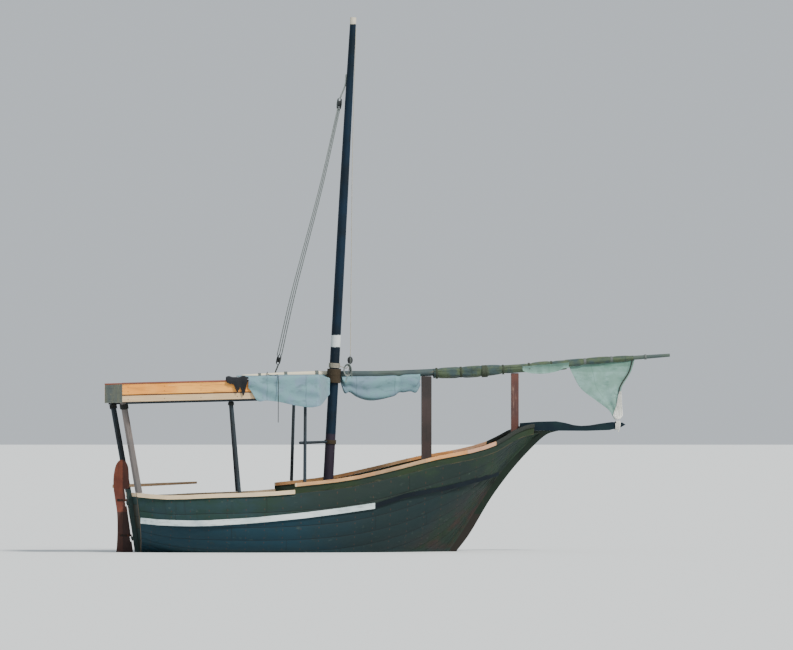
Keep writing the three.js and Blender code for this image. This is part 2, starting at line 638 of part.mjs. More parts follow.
const dhow = new THREE.Group();
pieces.forEach(([name, geometry, finish]) => {
  const [color, roughness] = FINISHES[finish];
  const material = new THREE.MeshStandardMaterial({ color, roughness, metalness: 0 });
  const mesh = new THREE.Mesh(geometry, material);
  mesh.name = name;
  dhow.add(mesh);
});

export default dhow;
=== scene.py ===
# %% [markdown]
# A small sailing dhow with a sun roof over its after part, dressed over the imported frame.
# The frame gives every main timber at real size, so each cell below only has to say what the
# real surface is, how it could be made in Blender, and why it is made the way it is. Metres,
# +X forward, +Y to port, +Z up, with the water at z = 0.

# %% Load the frame
import math
import random

import bmesh
import bpy
import numpy as np
from mathutils import Matrix, Vector


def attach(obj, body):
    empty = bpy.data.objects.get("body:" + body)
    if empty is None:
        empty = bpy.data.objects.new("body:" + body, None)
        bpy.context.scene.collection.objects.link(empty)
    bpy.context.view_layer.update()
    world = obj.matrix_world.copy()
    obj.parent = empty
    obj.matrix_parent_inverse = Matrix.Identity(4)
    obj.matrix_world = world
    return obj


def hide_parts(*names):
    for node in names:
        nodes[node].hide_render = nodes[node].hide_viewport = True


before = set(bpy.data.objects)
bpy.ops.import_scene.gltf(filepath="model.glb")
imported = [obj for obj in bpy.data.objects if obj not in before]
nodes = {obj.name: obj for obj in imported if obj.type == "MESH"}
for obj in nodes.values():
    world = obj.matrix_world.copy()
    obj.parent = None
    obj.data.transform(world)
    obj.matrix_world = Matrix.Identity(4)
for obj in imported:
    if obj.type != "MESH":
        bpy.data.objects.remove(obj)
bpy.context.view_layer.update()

# %% [markdown]
# The photograph was taken from far off with a long lens, a little abaft the starboard beam and
# about eye height above the water. It shows hardly any perspective, and a camera 150 m away
# with a 427 mm lens gives the same. How much of the roof's after end shows gives the angle, and
# a small upward tilt brings the whole mast into the frame.

# %% Camera
AIM = math.radians(8.5)  # how far aft of the beam the view is from
FAR_OFF, EYE_HEIGHT = 150, 1.94
LENS = 427  # millimetres
NEAREST, FARTHEST = 5, 2500  # what the camera can see, which takes in the floor's far rim
MIDDLE_ALONG, MIDDLE_UP = 1.544, 3.616  # what the middle of the picture shows
look = Vector((math.sin(AIM), math.cos(AIM), 0))
across = Vector((math.cos(AIM), -math.sin(AIM), 0))
target = across * MIDDLE_ALONG + Vector((0, 0, MIDDLE_UP))

camera = bpy.data.objects.new("camera", bpy.data.cameras.new("camera"))
camera.data.lens = LENS
camera.data.clip_start, camera.data.clip_end = NEAREST, FARTHEST
camera.location = across * MIDDLE_ALONG - look * FAR_OFF + Vector((0, 0, EYE_HEIGHT))
camera.rotation_euler = (target - camera.location).to_track_quat("-Z", "Y").to_euler()
bpy.context.scene.collection.objects.link(camera)
bpy.context.scene.camera = camera
print("camera at", tuple(round(v, 2) for v in camera.location))

# %% [markdown]
# Colours are written as sRGB hex, the way a picker reads them off a picture, and one function
# turns them linear, because Blender's sockets are linear. A second function adds one node with
# its settings and links, so a material reads as a short recipe. The nodes that come up again
# and again have a plain word each, with the inputs that their values fill in turn.

# %% Colours and nodes
MATHS = ("add", "subtract", "multiply", "maximum", "absolute", "fract", "floor", "sine", "sqrt")
WORDS = {word: ("ShaderNodeMath", {"operation": word.upper()}, (0, 1)) for word in MATHS}
# mixed: a share, the colour at 0 and the colour at 1
WORDS["mixed"] = ("ShaderNodeMix", {"data_type": "RGBA"}, (0, 6, 7))
# between: a value, which becomes 0 below the second, 1 above the third, and smooth between them
WORDS["between"] = ("ShaderNodeMapRange", {"interpolation_type": "SMOOTHSTEP"}, ("Value", "From Min", "From Max"))


def linear(code):
    """Linear colour of an sRGB hex code such as d8e4e4."""
    parts = [int(code[i:i + 2], 16) / 255 for i in (0, 2, 4)]
    return [c / 12.92 if c <= 0.04045 else ((c + 0.055) / 1.055) ** 2.4 for c in parts] + [1.0]


def fill(tree, node, inputs):
    """Gives a node's inputs a value each, or a link from another node or from one of its outputs."""
    for key, value in inputs.items():
        if isinstance(value, bpy.types.Node):
            value = next(output for output in value.outputs if output.enabled)
        if isinstance(value, bpy.types.NodeSocket):
            tree.links.new(value, node.inputs[key])
        else:
            node.inputs[key].default_value = value


def step(tree, kind, *values, **settings):
    """Adds a node. kind is a word with its values in turn, or Blender's name with a dict of inputs."""
    kind, known, inputs = WORDS.get(kind, (kind, {}, None))
    node = tree.nodes.new(kind)
    for key, value in {**known, **settings}.items():
        setattr(node, key, value)
    fill(tree, node, dict(zip(inputs, values)) if inputs else values[0])
    return node


def new_material(name):
    """A new material, its tree and its shader."""
    made = bpy.data.materials.new(name)
    made.use_nodes = True
    return made, made.node_tree, made.node_tree.nodes["Principled BSDF"]


def paint_so_far(material):
    """A material's tree, its shader and the colour that goes into it, to paint over."""
    shader = material.node_tree.nodes["Principled BSDF"]
    return material.node_tree, shader, shader.inputs["Base Color"].links[0].from_socket


def coordinate(tree, axis):
    """One of the Object coordinates, in metres."""
    place = step(tree, "ShaderNodeTexCoord", {}).outputs["Object"]
    return step(tree, "ShaderNodeSeparateXYZ", {0: place}).outputs["XYZ".index(axis)]


print("white stripe in linear light:", [round(c, 3) for c in linear("d8e4e4")])

# %% [markdown]
# The light is plain and soft: a pale sky from all round, and one broad sun, high and from the
# starboard bow, because in the photograph the roof's near side is bright and its after end dark.

# %% Light
world = bpy.data.worlds.new("studio")
world.use_nodes = True
world.node_tree.nodes["Background"].inputs["Color"].default_value = linear("e6eef5")
world.node_tree.nodes["Background"].inputs["Strength"].default_value = 0.75
bpy.context.scene.world = world
sun = bpy.data.objects.new("sun", bpy.data.lights.new("sun", "SUN"))
sun.data.energy = 4.4
sun.data.angle = math.radians(9)
sun.data.color = (1.0, 0.96, 0.9)
sun.rotation_euler = Vector((0.55, -0.75, 1.0)).to_track_quat("Z", "Y").to_euler()
bpy.context.scene.collection.objects.link(sun)
print("sky and one broad sun")

# %% [markdown]
# Most of the boat is old timber under old paint. One recipe covers it: broad patches of a
# second tone, streaks that run with the grain, bare wood where the paint has gone, and a fine
# bump along the grain. The stretch of the Mapping node says which way the grain runs, so the
# same recipe serves a mast, a deck and a post. Noise is in Object coordinates, in metres.

# %% Weathered timber
def pattern(tree, stretch, scale, detail=4.0, roughness=0.55, seed=0.0):
    """A noise in metres, stretched along an axis. A small number in stretch is the long way."""
    place = step(tree, "ShaderNodeTexCoord", {}).outputs["Object"]
    moved = step(tree, "ShaderNodeMapping", {"Vector": place, "Scale": stretch, "Location": (seed, seed * 0.7, 0)})
    made = step(tree, "ShaderNodeTexNoise", {
        "Vector": moved.outputs[0], "Scale": scale, "Detail": detail, "Roughness": roughness})
    return made.outputs["Fac"]


def edge_wear(tree, reach):
    """Bright along convex edges, as far as reach: where the bevelled normal leaves the real one."""
    soft = step(tree, "ShaderNodeBevel", {"Radius": reach}, samples=4)
    true = step(tree, "ShaderNodeNewGeometry", {}).outputs["Normal"]
    same = step(tree, "ShaderNodeVectorMath", {0: soft, 1: true}, operation="DOT_PRODUCT").outputs["Value"]
    return step(tree, "between", step(tree, "subtract", 1.0, same), 0.02, 0.25)


def timber(name, paint, second, bare, along="X", worn=0.45, rough=0.72, grain=0.004, dark="1d1a17"):
    """A material of timber with worn paint, whose grain runs along an axis."""
    made, tree, shader = new_material(name)
    stretch = [0.12 if axis == along else 1.0 for axis in "XYZ"]
    streaks = pattern(tree, stretch, 26, 6, 0.62, seed=8)
    fibres = pattern(tree, [0.04 if axis == along else 1.0 for axis in "XYZ"], 110, 3, 0.6, seed=1)
    patches = step(tree, "between", pattern(tree, (1, 1, 1), 1.7, 3, seed=3), 0.38, 0.62)
    colour = step(tree, "mixed", patches, linear(paint), linear(second))
    shade = step(tree, "mixed", 0.5, colour, linear(dark))
    colour = step(tree, "mixed", step(tree, "between", streaks, 0.5, 0.75), colour, shade)
    # the paint has gone where the rubbing is strongest, and first along the edges
    rubbed = pattern(tree, stretch, 9, 8, 0.68, seed=21)
    rubbed = step(tree, "add", rubbed, step(tree, "multiply", edge_wear(tree, 0.012), 0.22))
    bared = step(tree, "between", rubbed, 0.74 - 0.3 * worn, 0.82 - 0.3 * worn)
    wood = step(tree, "mixed", fibres, linear(bare), linear(dark))
    wood = step(tree, "mixed", 0.65, wood, linear(bare))
    colour = step(tree, "mixed", bared, colour, wood)
    height = step(tree, "add", step(tree, "multiply", fibres, 0.5), step(tree, "multiply", streaks, 0.8))
    height = step(tree, "subtract", height, step(tree, "multiply", bared, 0.5))
    bump = step(tree, "ShaderNodeBump", {"Height": height, "Strength": 0.6, "Distance": grain})
    dull = step(tree, "ShaderNodeMapRange", {"Value": bared, "To Min": rough, "To Max": min(rough + 0.2, 0.95)})
    fill(tree, shader, {"Base Color": colour, "Normal": bump, "Roughness": dull})
    return made


CAP = timber("worn_cap_teak", "cfa06c", "b07f54", "e2cba4", worn=0.55)
# near black: tar on the wale, and painted shadow on the battens under the roof's side boards
WALE_TAR_AND_BATTEN_SHADOW = timber("tarred_wale", "0b141c", "101b22", "2f3530", worn=0.2)
STRIPE = timber("white_stripe_paint", "d3dfe0", "b4c6c9", "7f8c88", worn=0.35, rough=0.55)
BEAK = timber("tarred_beak", "0c1c26", "15292c", "3c3a30", worn=0.25)
STEM = timber("stem_timber", "16211b", "1c2820", "403c2f", along="Z", worn=0.25)
TRANSOM = timber("transom_paint", "223a3c", "1e3530", "4c564c", along="Y", worn=0.35)
KEEL = timber("keel_timber", "5a3f3a", "47332f", "6c5a4a", worn=0.4)
BULWARK = timber("bulwark_paint", "2b3826", "26332c", "5d5340", worn=0.35)
for dull in (WALE_TAR_AND_BATTEN_SHADOW, BEAK, STEM, BULWARK, TRANSOM):
    dull.node_tree.nodes["Principled BSDF"].inputs["Specular IOR Level"].default_value = 0.15
INSIDE = timber("bare_inside_timber", "8a6b4a", "6f5338", "a98d68", worn=0.7, rough=0.8)
SOLE = timber("trodden_sole", "7c6248", "655038", "a08a6a", worn=0.75, rough=0.85)
DECK = timber("foredeck_timber", "85705a", "6a5844", "a3906f", worn=0.7, rough=0.85)
POST_LIGHT = timber("bleached_post", "766c68", "625e5d", "a0927f", along="Z", worn=0.45)
POST_DARK = timber("dark_post", "1f2d36", "182228", "51483d", along="Z", worn=0.3)
CRUTCH_AFT = timber("purple_brown_post", "382b29", "282221", "6a5a50", along="Z", worn=0.45)
CRUTCH_FORE = timber("red_brown_post", "5c352c", "452a28", "9a7c6c", along="Z", worn=0.4)
RUDDER_RED = timber("rudder_red_oxide", "934f39", "723a2c", "8a6850", along="Z", worn=0.45)
TILLER = timber("handled_tiller", "c9a884", "b08d68", "d8bf9a", worn=0.6, rough=0.5)
# the end boards' dark grey-green is partly their weathered wood and partly painted shade, darker than the side
# boards because the after end lies in shadow
ROOF_END_SHADE = timber("roof_end_timber", "5d614b", "46524a", "93896a", along="Y", worn=0.55)
ROOF_DECK = timber("roof_underside", "6f5236", "59422c", "8c7052", along="X", worn=0.6)
TRIM = timber("red_brown_trim", "8a4a38", "74402f", "a67a5c", worn=0.45)
STERN_POST = timber("sternpost_timber", "2c4442", "223634", "545046", along="Z", worn=0.35)
print("timber finishes:", len([m for m in bpy.data.materials if m.use_nodes]))

# %% [markdown]
# Sawn timber never has a knife edge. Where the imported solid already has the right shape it
# stays, and gets its finish and a Weld and a Bevel modifier: the weld joins its loose
# triangles, and the bevel rounds only its sharp corners.

# %% Dress the solids that stay
SAME_POINT = 0.0002  # corners nearer than this are one


def round_edges(piece, width, segments=2, sharp=30):
    """Rounds a piece's corners. sharp is the least turn that counts as one, in degrees."""
    bevel = piece.modifiers.new("round_edge", "BEVEL")
    bevel.width, bevel.segments = width, segments
    bevel.limit_method, bevel.angle_limit = "ANGLE", math.radians(sharp)


def dress(name, material, width):
    """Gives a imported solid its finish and, with modifiers, worn round edges."""
    piece = nodes[name]
    piece.data.materials.clear()
    piece.data.materials.append(material)
    weld = piece.modifiers.new("weld", "WELD")
    weld.merge_threshold = SAME_POINT
    round_edges(piece, width, sharp=32)


def both(name):
    """The names of a piece that is on both sides."""
    return [name + "_port", name + "_starboard"]


DRESSED = [
    (["keel"], KEEL, 0.008), (["beak"], BEAK, 0.014),
    (["sternpost"], STERN_POST, 0.004), (["transom"], TRANSOM, 0.003), (["transom_cap"], CAP, 0.006),
    (both("gunwale_cap"), CAP, 0.006), (both("bulwark_cap"), CAP, 0.006),
    (both("bulwark"), BULWARK, 0.003), (both("rub_rail"), STRIPE, 0.006),
    (both("wale"), WALE_TAR_AND_BATTEN_SHADOW, 0.008), (["sole"], SOLE, 0.002), (both("bench"), INSIDE, 0.005),
    (["stern_seat", "thwart_aft", "thwart_mast"], INSIDE, 0.006), (["foredeck"], DECK, 0.002),
    (["mast_step"], INSIDE, 0.008), (["roof_deck"], ROOF_DECK, 0.003),
    (["roof_aft_board", "roof_fore_board"], ROOF_END_SHADE, 0.004),
    (["roof_post_aft_starboard"], POST_LIGHT, 0.01),
    (["roof_post_aft_port", *both("roof_post_mid"), *both("roof_post_fore")], POST_DARK, 0.008),
    (["crutch_post_aft"], CRUTCH_AFT, 0.01), (["crutch_post_fore"], CRUTCH_FORE, 0.01),
    (["tiller"], TILLER, 0.007), (both("roof_trim"), TRIM, 0.005),
]
for names, material, width in DRESSED:
    for name in names:
        dress(name, material, width)
print("dressed solids:", sum(len(names) for names, _, _ in DRESSED))

# %% [markdown]
# The planking is what the eye reads as a hull, so each strake is modelled: eleven a side, run
# from stem to stern, with a caulked seam sunk between them. The hull's shape is the packed
# one, so the same station table is repeated here in metres, with the same smooth curve
# through its rows, and each section is one cubic curve from keel to sheer.

# %% Hull surface
PLANK = 0.038
STATIONS = np.array([
    [-2.700, 0.890, 0.720, -2.516, -0.420, 0.02, 0.45, 1.0, 0.28],
    [-2.200, 0.850, 0.930, -2.080, -0.500, 0.15, 0.25, 1.06, 0.28],
    [-1.500, 0.878, 1.100, -1.400, -0.535, 0.35, 0.1, 1.1, 0.28],
    [-0.700, 0.905, 1.180, -0.650, -0.552, 0.48, 0.04, 1.1, 0.28],
    [0.000, 0.962, 1.200, 0.000, -0.560, 0.55, 0.02, 1.1, 0.28],
    [0.700, 1.050, 1.190, 0.650, -0.560, 0.5, 0.04, 1.08, 0.3],
    [1.400, 1.205, 1.110, 1.250, -0.545, 0.38, 0.1, 1.0, 0.34],
    [2.050, 1.362, 0.950, 1.750, -0.490, 0.25, 0.18, 0.88, 0.42],
    [2.650, 1.470, 0.725, 2.190, -0.240, 0.22, 0.25, 0.74, 0.52],
    [3.100, 1.600, 0.500, 2.530, 0.190, 0.25, 0.3, 0.68, 0.6],
    [3.420, 1.775, 0.330, 2.885, 0.740, 0.3, 0.33, 0.67, 0.66],
    [3.660, 1.862, 0.185, 3.295, 1.330, 0.33, 0.33, 0.67, 0.67],
    [3.860, 1.890, 0.068, 3.790, 1.840, 0.33, 0.33, 0.67, 0.67],
])  # top x, top z, half breadth, low x, low z, and the curve's two inner points as shares


def station(share):
    """The row at a share of the table's length, smooth through its rows."""
    place = share * (len(STATIONS) - 1)
    i = min(int(place), len(STATIONS) - 2)
    t = place - i
    a, b, c, d = (STATIONS[min(max(k, 0), len(STATIONS) - 1)] for k in (i - 1, i, i + 1, i + 2))
    return b + 0.5 * t * (c - a + t * (2 * a - 5 * b + 4 * c - d + t * (3 * (b - c) + d - a)))


def hull_point(row, t, inset=0.0):
    """A point on the port side's outside at t from keel to sheer, set in by a wall."""
    top_x, top_z, half, low_x, low_z, y1, h1, y2, h2 = row
    k = 1 - t
    height = math.hypot(top_x - low_x, top_z - low_z)
    y = half * (3 * k * k * t * y1 + 3 * k * t * t * y2 + t ** 3)
    share = 3 * k * k * t * h1 + 3 * k * t * t * h2 + t ** 3
    dy = half * (k * k * y1 + 2 * k * t * (y2 - y1) + t * t * (1 - y2))
    dh = height * (k * k * h1 + 2 * k * t * (h2 - h1) + t * t * (1 - h2))
    size = math.hypot(dy, dh)
    share += inset * dy / size / height
    return Vector((low_x + (top_x - low_x) * share, max(y - inset * dh / size, 0),
                   low_z + (top_z - low_z) * share))


print("section amidships:", [tuple(round(v, 2) for v in hull_point(station(0.35), t)) for t in (0, 0.5, 1)])

# %% [markdown]
# The floor lies at the waterline and is plain and pale, so that the boat is all there is to
# see. It is very wide, because a long lens near the ground sees far along it, and it has a
# hole the shape of the hull's waterline, because the sole inside lies lower than the water.

# %% Floor
FLOOR_RADIUS = 1100
WET_SHARES = np.linspace(0.003, 0.71, 44)  # where in the station table the hull meets the water


def waterline(side):
    """Places in the middle of one side's planks at the height of the water, stern to bow."""
    places = []
    for share in WET_SHARES:
        row = station(share)
        low, high = 0.0, 1.0
        for _ in range(24):
            middle = (low + high) / 2
            low, high = (middle, high) if hull_point(row, middle).z < 0 else (low, middle)
        place = hull_point(row, low, PLANK / 2)
        inwards = 0 if places else 0.02  # the first place lies within the transom
        places.append((place.x + inwards, side * max(place.y, 0.01)))
    return places


inner = waterline(1) + waterline(-1)[::-1]
turns = [math.atan2(y, x) for x, y in inner]
outer = [(FLOOR_RADIUS * math.cos(a), FLOOR_RADIUS * math.sin(a)) for a in turns]
floor_data = bpy.data.meshes.new("floor")
shape = bmesh.new()
loops = [[shape.verts.new((x, y, 0)) for x, y in ring] for ring in (inner, outer)]
for i in range(len(inner)):
    j = (i + 1) % len(inner)
    shape.faces.new([loops[0][i], loops[0][j], loops[1][j], loops[1][i]])
bmesh.ops.recalc_face_normals(shape, faces=shape.faces)
shape.to_mesh(floor_data)
shape.free()
floor = bpy.data.objects.new("floor", floor_data)
pale, tree, shader = new_material("pale_floor")
fill(tree, shader, {"Base Color": linear("dfe3e4"), "Roughness": 0.9})
floor_data.materials.append(pale)
bpy.context.scene.collection.objects.link(floor)
print("floor", FLOOR_RADIUS, "m in radius, its hole has", len(inner), "corners")

# %% [markdown]
# A helper makes every mesh that is drawn point by point: it sets the finish, the shading and
# the UVs, and leaves the object at the origin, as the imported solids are.

# %% Mesh helper
def make(name, points, faces, material, body="boat", uvs=None, smooth=True, finishes=None):
    """An object from points and faces. uvs has one pair for each corner of each face in turn."""
    data = bpy.data.meshes.new(name)
    data.from_pydata([tuple(p) for p in points], [], faces)
    for one in material if isinstance(material, list) else [material]:
        data.materials.append(one)
    data.polygons.foreach_set("use_smooth", [smooth] * len(data.polygons))
    if finishes is not None:
        data.polygons.foreach_set("material_index", finishes)
    if uvs is not None:
        layer = data.uv_layers.new(name="along_and_across")
        layer.data.foreach_set("uv", [value for pair in uvs for value in pair])
    shape = bmesh.new()
    shape.from_mesh(data)
    bmesh.ops.recalc_face_normals(shape, faces=shape.faces)
    shape.to_mesh(data)
    shape.free()
    made = bpy.data.objects.new(name, data)
    bpy.context.scene.collection.objects.link(made)
    if body:
        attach(made, body)
    return made


print("mesh helper ready")

# %% [markdown]
# Each strake is a band of the hull's surface between two shares of its height. Four marks on
# it say where the surface is sunk, which leaves a flat face with a narrow caulked seam beside
# it. The inside is the same surface, set in by a plank's thickness, and the edges are closed.

# %% Strakes
STRAKES = 11
COLUMNS = 96
SEAM = 0.0045  # how deep the caulked seam is sunk
TIMBER_HALF = 0.0383  # the planks stop at the side of the keel
LAND = 0.012  # and their outer faces stand this much proud of it
ROWS = [(0.0, 1), (0.05, 0), (0.5, 0), (0.95, 0)]  # share of a strake, and whether sunk


def planking(side):
    """One side's planks, outside, inside and their edges. side is 1 to port and -1 to starboard."""
    marks = [(k + share, sunk) for k in range(STRAKES) for share, sunk in ROWS] + [(STRAKES, 1)]
    points, uv_of = [], []
    for shell, depth in ((0, 0.0), (1, PLANK)):
        for c in range(COLUMNS + 1):
            row = station(c / COLUMNS)
            for mark, sunk in marks:
                inset = depth + (SEAM * sunk if shell == 0 else -0.6 * SEAM * sunk)
                p = hull_point(row, mark / STRAKES, 0 if mark == STRAKES and shell == 0 else inset)
                points.append(Vector((p.x, side * max(p.y, TIMBER_HALF + LAND * (1 - shell)), p.z)))
                uv_of.append((p.x + 0.37 * shell, mark))
    count = len(marks)
    shift = (COLUMNS + 1) * count
    faces, finishes = [], []
    for c in range(COLUMNS):
        for m in range(count - 1):
            a, b = c * count + m, (c + 1) * count + m
            faces += [[a, b, b + 1, a + 1], [shift + a, shift + a + 1, shift + b + 1, shift + b]]
            finishes += [0, 1]
        for m in (0, count - 1):
            a, b = c * count + m, (c + 1) * count + m
            faces.append([a, a + shift, b + shift, b] if m == 0 else [a, b, b + shift, a + shift])
            finishes.append(0)
    for c in (0, COLUMNS):
        for m in range(count - 1):
            a = c * count + m
            faces.append([a, a + 1, a + 1 + shift, a + shift] if c == 0 else
                         [a, a + shift, a + 1 + shift, a + 1])
            finishes.append(1)
    if side > 0:
        faces = [face[::-1] for face in faces]
    uvs = [uv_of[i] for face in faces for i in face]
    return points, faces, uvs, finishes


PLANKING = {name: planking(side) for side, name in ((1, "port"), (-1, "starboard"))}
print("planks:", {name: len(faces) for name, (_, faces, _, _) in PLANKING.items()}, "faces")

# %% [markdown]
# The hull's paint is old and thin: grey-green aft, almost black olive forward, blue-green
# under the white stripe and worn to red-brown primer at the forefoot. Height above the stripe
# decides the colour, so the stripe's curve is written as one quadratic. Along each strake the
# UV map runs in metres, and across it counts strakes, so each plank gets its own tone, its
# dark seam, its butt joints and its rows of fastenings.

# %% Hull paint
STRIPE_HEIGHT, STRIPE_SLOPE, STRIPE_BEND = 0.6, 0.125, 0.0265  # at x = 0, and how it rises from there
BOARD_LONG, NAIL_STEP, STRAKE_WIDE = 2.3, 0.29, 0.13


def along_and_across(tree):
    """The two values of a piece's UV map."""
    place = step(tree, "ShaderNodeTexCoord", {}).outputs["UV"]
    return step(tree, "ShaderNodeSeparateXYZ", {0: place}).outputs[:2]


def hull_paint():
    """The hull's paint, with a tone, seams, butt joints and nails for each strake."""
    made, tree, shader = new_material("worn_hull_paint")
    x, z = coordinate(tree, "X"), coordinate(tree, "Z")
    mottle = pattern(tree, (0.5, 1, 1), 2.4, 5, 0.6, seed=5)
    fine = pattern(tree, (0.3, 1, 1), 14, 6, 0.65, seed=2)
    runs = pattern(tree, (1, 1, 0.1), 16, 5, 0.6, seed=9)
    slope = step(tree, "add", STRIPE_SLOPE, step(tree, "multiply", x, STRIPE_BEND))
    stripe = step(tree, "add", STRIPE_HEIGHT, step(tree, "multiply", x, slope))
    above = step(tree, "between", step(tree, "subtract", z, stripe), -0.02, 0.02)
    wander = step(tree, "add", x, step(tree, "multiply", mottle, 1.6))
    fore = step(tree, "between", wander, -0.9, 1.3)
    green = step(tree, "mixed", fore, linear("1b3830"), linear("1e311e"))
    top = step(tree, "mixed", fore, linear("203b40"), linear("162620"))
    top = step(tree, "mixed", step(tree, "between", mottle, 0.42, 0.6), top, green)
    forefoot = step(tree, "subtract", wander, step(tree, "multiply", z, 1.1))
    primer = step(tree, "mixed", step(tree, "between", mottle, 0.42, 0.58), linear("33241f"), linear("1b2b1d"))
    low = step(tree, "mixed", step(tree, "between", wander, 0.2, 2.0), linear("012f3e"), linear("0e2325"))
    low = step(tree, "mixed", step(tree, "between", forefoot, 2.0, 2.9), low, primer)
    colour = step(tree, "mixed", above, low, top)
    weed = step(tree, "between", step(tree, "add", z, step(tree, "multiply", fine, 0.12)), 0.16, 0.03)
    colour = step(tree, "mixed", step(tree, "multiply", weed, 0.75), colour, linear("102c2f"))

    run, count = along_and_across(tree)
    number = step(tree, "floor", count)
    tone = step(tree, "ShaderNodeTexWhiteNoise", {"W": number}, noise_dimensions="1D")
    colour = step(tree, "mixed", step(tree, "multiply", tone, 0.35), colour, linear("1b2d2f"))
    middle = step(tree, "absolute", step(tree, "subtract", step(tree, "fract", count), 0.5))
    seam = step(tree, "between", middle, 0.47, 0.495)
    along = step(tree, "add", step(tree, "multiply", run, 1 / BOARD_LONG), step(tree, "multiply", number, 0.38))
    off_butt = step(tree, "absolute", step(tree, "subtract", step(tree, "fract", along), 0.5))
    dark = step(tree, "maximum", seam, step(tree, "between", off_butt, 0.0022, 0.0008))
    off_x = step(tree, "subtract", step(tree, "fract", step(tree, "multiply", run, 1 / NAIL_STEP)), 0.5)
    off_x = step(tree, "multiply", off_x, NAIL_STEP)
    off_y = step(tree, "multiply", step(tree, "subtract", middle, 0.3), STRAKE_WIDE)
    off_nail = step(tree, "add", step(tree, "multiply", off_x, off_x), step(tree, "multiply", off_y, off_y))
    nail = step(tree, "between", step(tree, "sqrt", off_nail), 0.011, 0.006)
    colour = step(tree, "mixed", step(tree, "multiply", nail, 0.55), colour, linear("4a3226"))
    worn = step(tree, "between", step(tree, "add", fine, step(tree, "multiply", runs, 0.45)), 0.84, 1.0)
    colour = step(tree, "mixed", step(tree, "multiply", worn, 0.35), colour, linear("5c695f"))
    stain = step(tree, "multiply", step(tree, "between", runs, 0.52, 0.72), 0.5)
    colour = step(tree, "mixed", stain, colour, linear("1a2727"))
    colour = step(tree, "mixed", step(tree, "multiply", dark, 0.8), colour, linear("0d1112"))
    height = step(tree, "add", step(tree, "multiply", fine, 0.7), step(tree, "multiply", nail, 0.4))
    height = step(tree, "subtract", height, step(tree, "add", dark, worn))
    bump = step(tree, "ShaderNodeBump", {"Height": height, "Strength": 0.55, "Distance": 0.004})
    rough = step(tree, "ShaderNodeMapRange", {"Value": fine, "To Min": 0.5, "To Max": 0.85})
    fill(tree, shader, {"Base Color": colour, "Normal": bump, "Roughness": rough, "Specular IOR Level": 0.3})
    return made


HULL_PAINT = hull_paint()
for name, (points, faces, uvs, finishes) in PLANKING.items():
    planks = make("hull_planks_" + name, points, faces, [HULL_PAINT, INSIDE], uvs=uvs, finishes=finishes)
    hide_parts("planking_" + name)
print("hull planks painted")

# %% [markdown]
# What repeats is made by Geometry Nodes. A small helper makes a tree with named inputs for its
# sizes, and a second one runs a tree on a few guide points or lines and keeps the plain mesh.

# %% Geometry Nodes helpers
def plan(name, sizes):
    """A tree with named inputs. Returns it, its inputs' sockets and the socket that ends it."""
    tree = bpy.data.node_groups.new(name, "GeometryNodeTree")
    tree.interface.new_socket("Guides", in_out="INPUT", socket_type="NodeSocketGeometry")
    for label, value in sizes.items():
        kind = "NodeSocketInt" if isinstance(value, int) else "NodeSocketFloat"
        tree.interface.new_socket(label, in_out="INPUT", socket_type=kind).default_value = value
    tree.interface.new_socket("Piece", in_out="OUTPUT", socket_type="NodeSocketGeometry")
    start = tree.nodes.new("NodeGroupInput")
    end = tree.nodes.new("NodeGroupOutput")
    return tree, start.outputs, end.inputs[0]


def close(tree, shape, material, end):
    """Ends a tree in Realize Instances and Set Material."""
    real = step(tree, "GeometryNodeRealizeInstances", {0: shape})
    painted = step(tree, "GeometryNodeSetMaterial", {0: real, "Material": material})
    tree.links.new(painted.outputs[0], end)


def on_guides(tree, guides, shape, material, end):
    """Ends a tree with a shape on each guide point, turned to its direction and scaled by its size."""
    way = step(tree, "GeometryNodeInputNamedAttribute", {"Name": "direction"}, data_type="FLOAT_VECTOR")
    turned = step(tree, "FunctionNodeAlignRotationToVector", {"Vector": way}, axis="Z")
    size = step(tree, "GeometryNodeInputNamedAttribute", {"Name": "size"}, data_type="FLOAT")
    placed = step(tree, "GeometryNodeInstanceOnPoints", {
        "Points": guides, "Instance": shape, "Rotation": turned, "Scale": size})
    close(tree, placed, material, end)


def grow(name, guides, tree, body="boat", finish=None, **sizes):
    """Runs a tree on guides, and makes its result a plain mesh that rides on a body."""
    carrier = bpy.data.objects.new(name, guides)
    bpy.context.scene.collection.objects.link(carrier)
    modifier = carrier.modifiers.new("grown", "NODES")
    modifier.node_group = tree
    for socket in tree.interface.items_tree:
        if socket.in_out == "INPUT" and socket.name.replace(" ", "_") in sizes:
            modifier[socket.identifier] = sizes[socket.name.replace(" ", "_")]
    bpy.context.view_layer.update()
    shape = bpy.data.meshes.new_from_object(carrier.evaluated_get(bpy.context.evaluated_depsgraph_get()))
    carrier.modifiers.clear()
    carrier.data = shape
    finish = finish or next(made for made in shape.materials if made)
    shape.materials.clear()
    shape.materials.append(finish)
    shape.polygons.foreach_set("material_index", [0] * len(shape.polygons))
    if body:
        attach(carrier, body)
    print(name + ":", len(shape.polygons), "faces of", finish.name)
    return carrier


def guide_lines(lines):
    """A mesh of open lines."""
    data = bpy.data.meshes.new("guides")
    points, edges = [], []
    for line in lines:
        edges += [(len(points) + i, len(points) + i + 1) for i in range(len(line) - 1)]
        points += [tuple(p) for p in line]
    data.from_pydata(points, edges, [])
    return data


def guide_points(rows):
    """A mesh of loose points, each with a direction and a size."""
    data = bpy.data.meshes.new("guides")
    data.from_pydata([tuple(p) for p, _, _ in rows], [], [])
    way = data.attributes.new("direction", "FLOAT_VECTOR", "POINT")
    way.data.foreach_set("vector", [v for _, d, _ in rows for v in d])
    size = data.attributes.new("size", "FLOAT", "POINT")
    size.data.foreach_set("value", [s for _, _, s in rows])
    return data


print("Geometry Nodes helpers ready")

# %% [markdown]
# Inside, crooked frames stand against the planks about every 29 cm. They follow the hull's
# section, so each is a guide line along the inside of the planking, and the tree sweeps a
# rectangle along it.

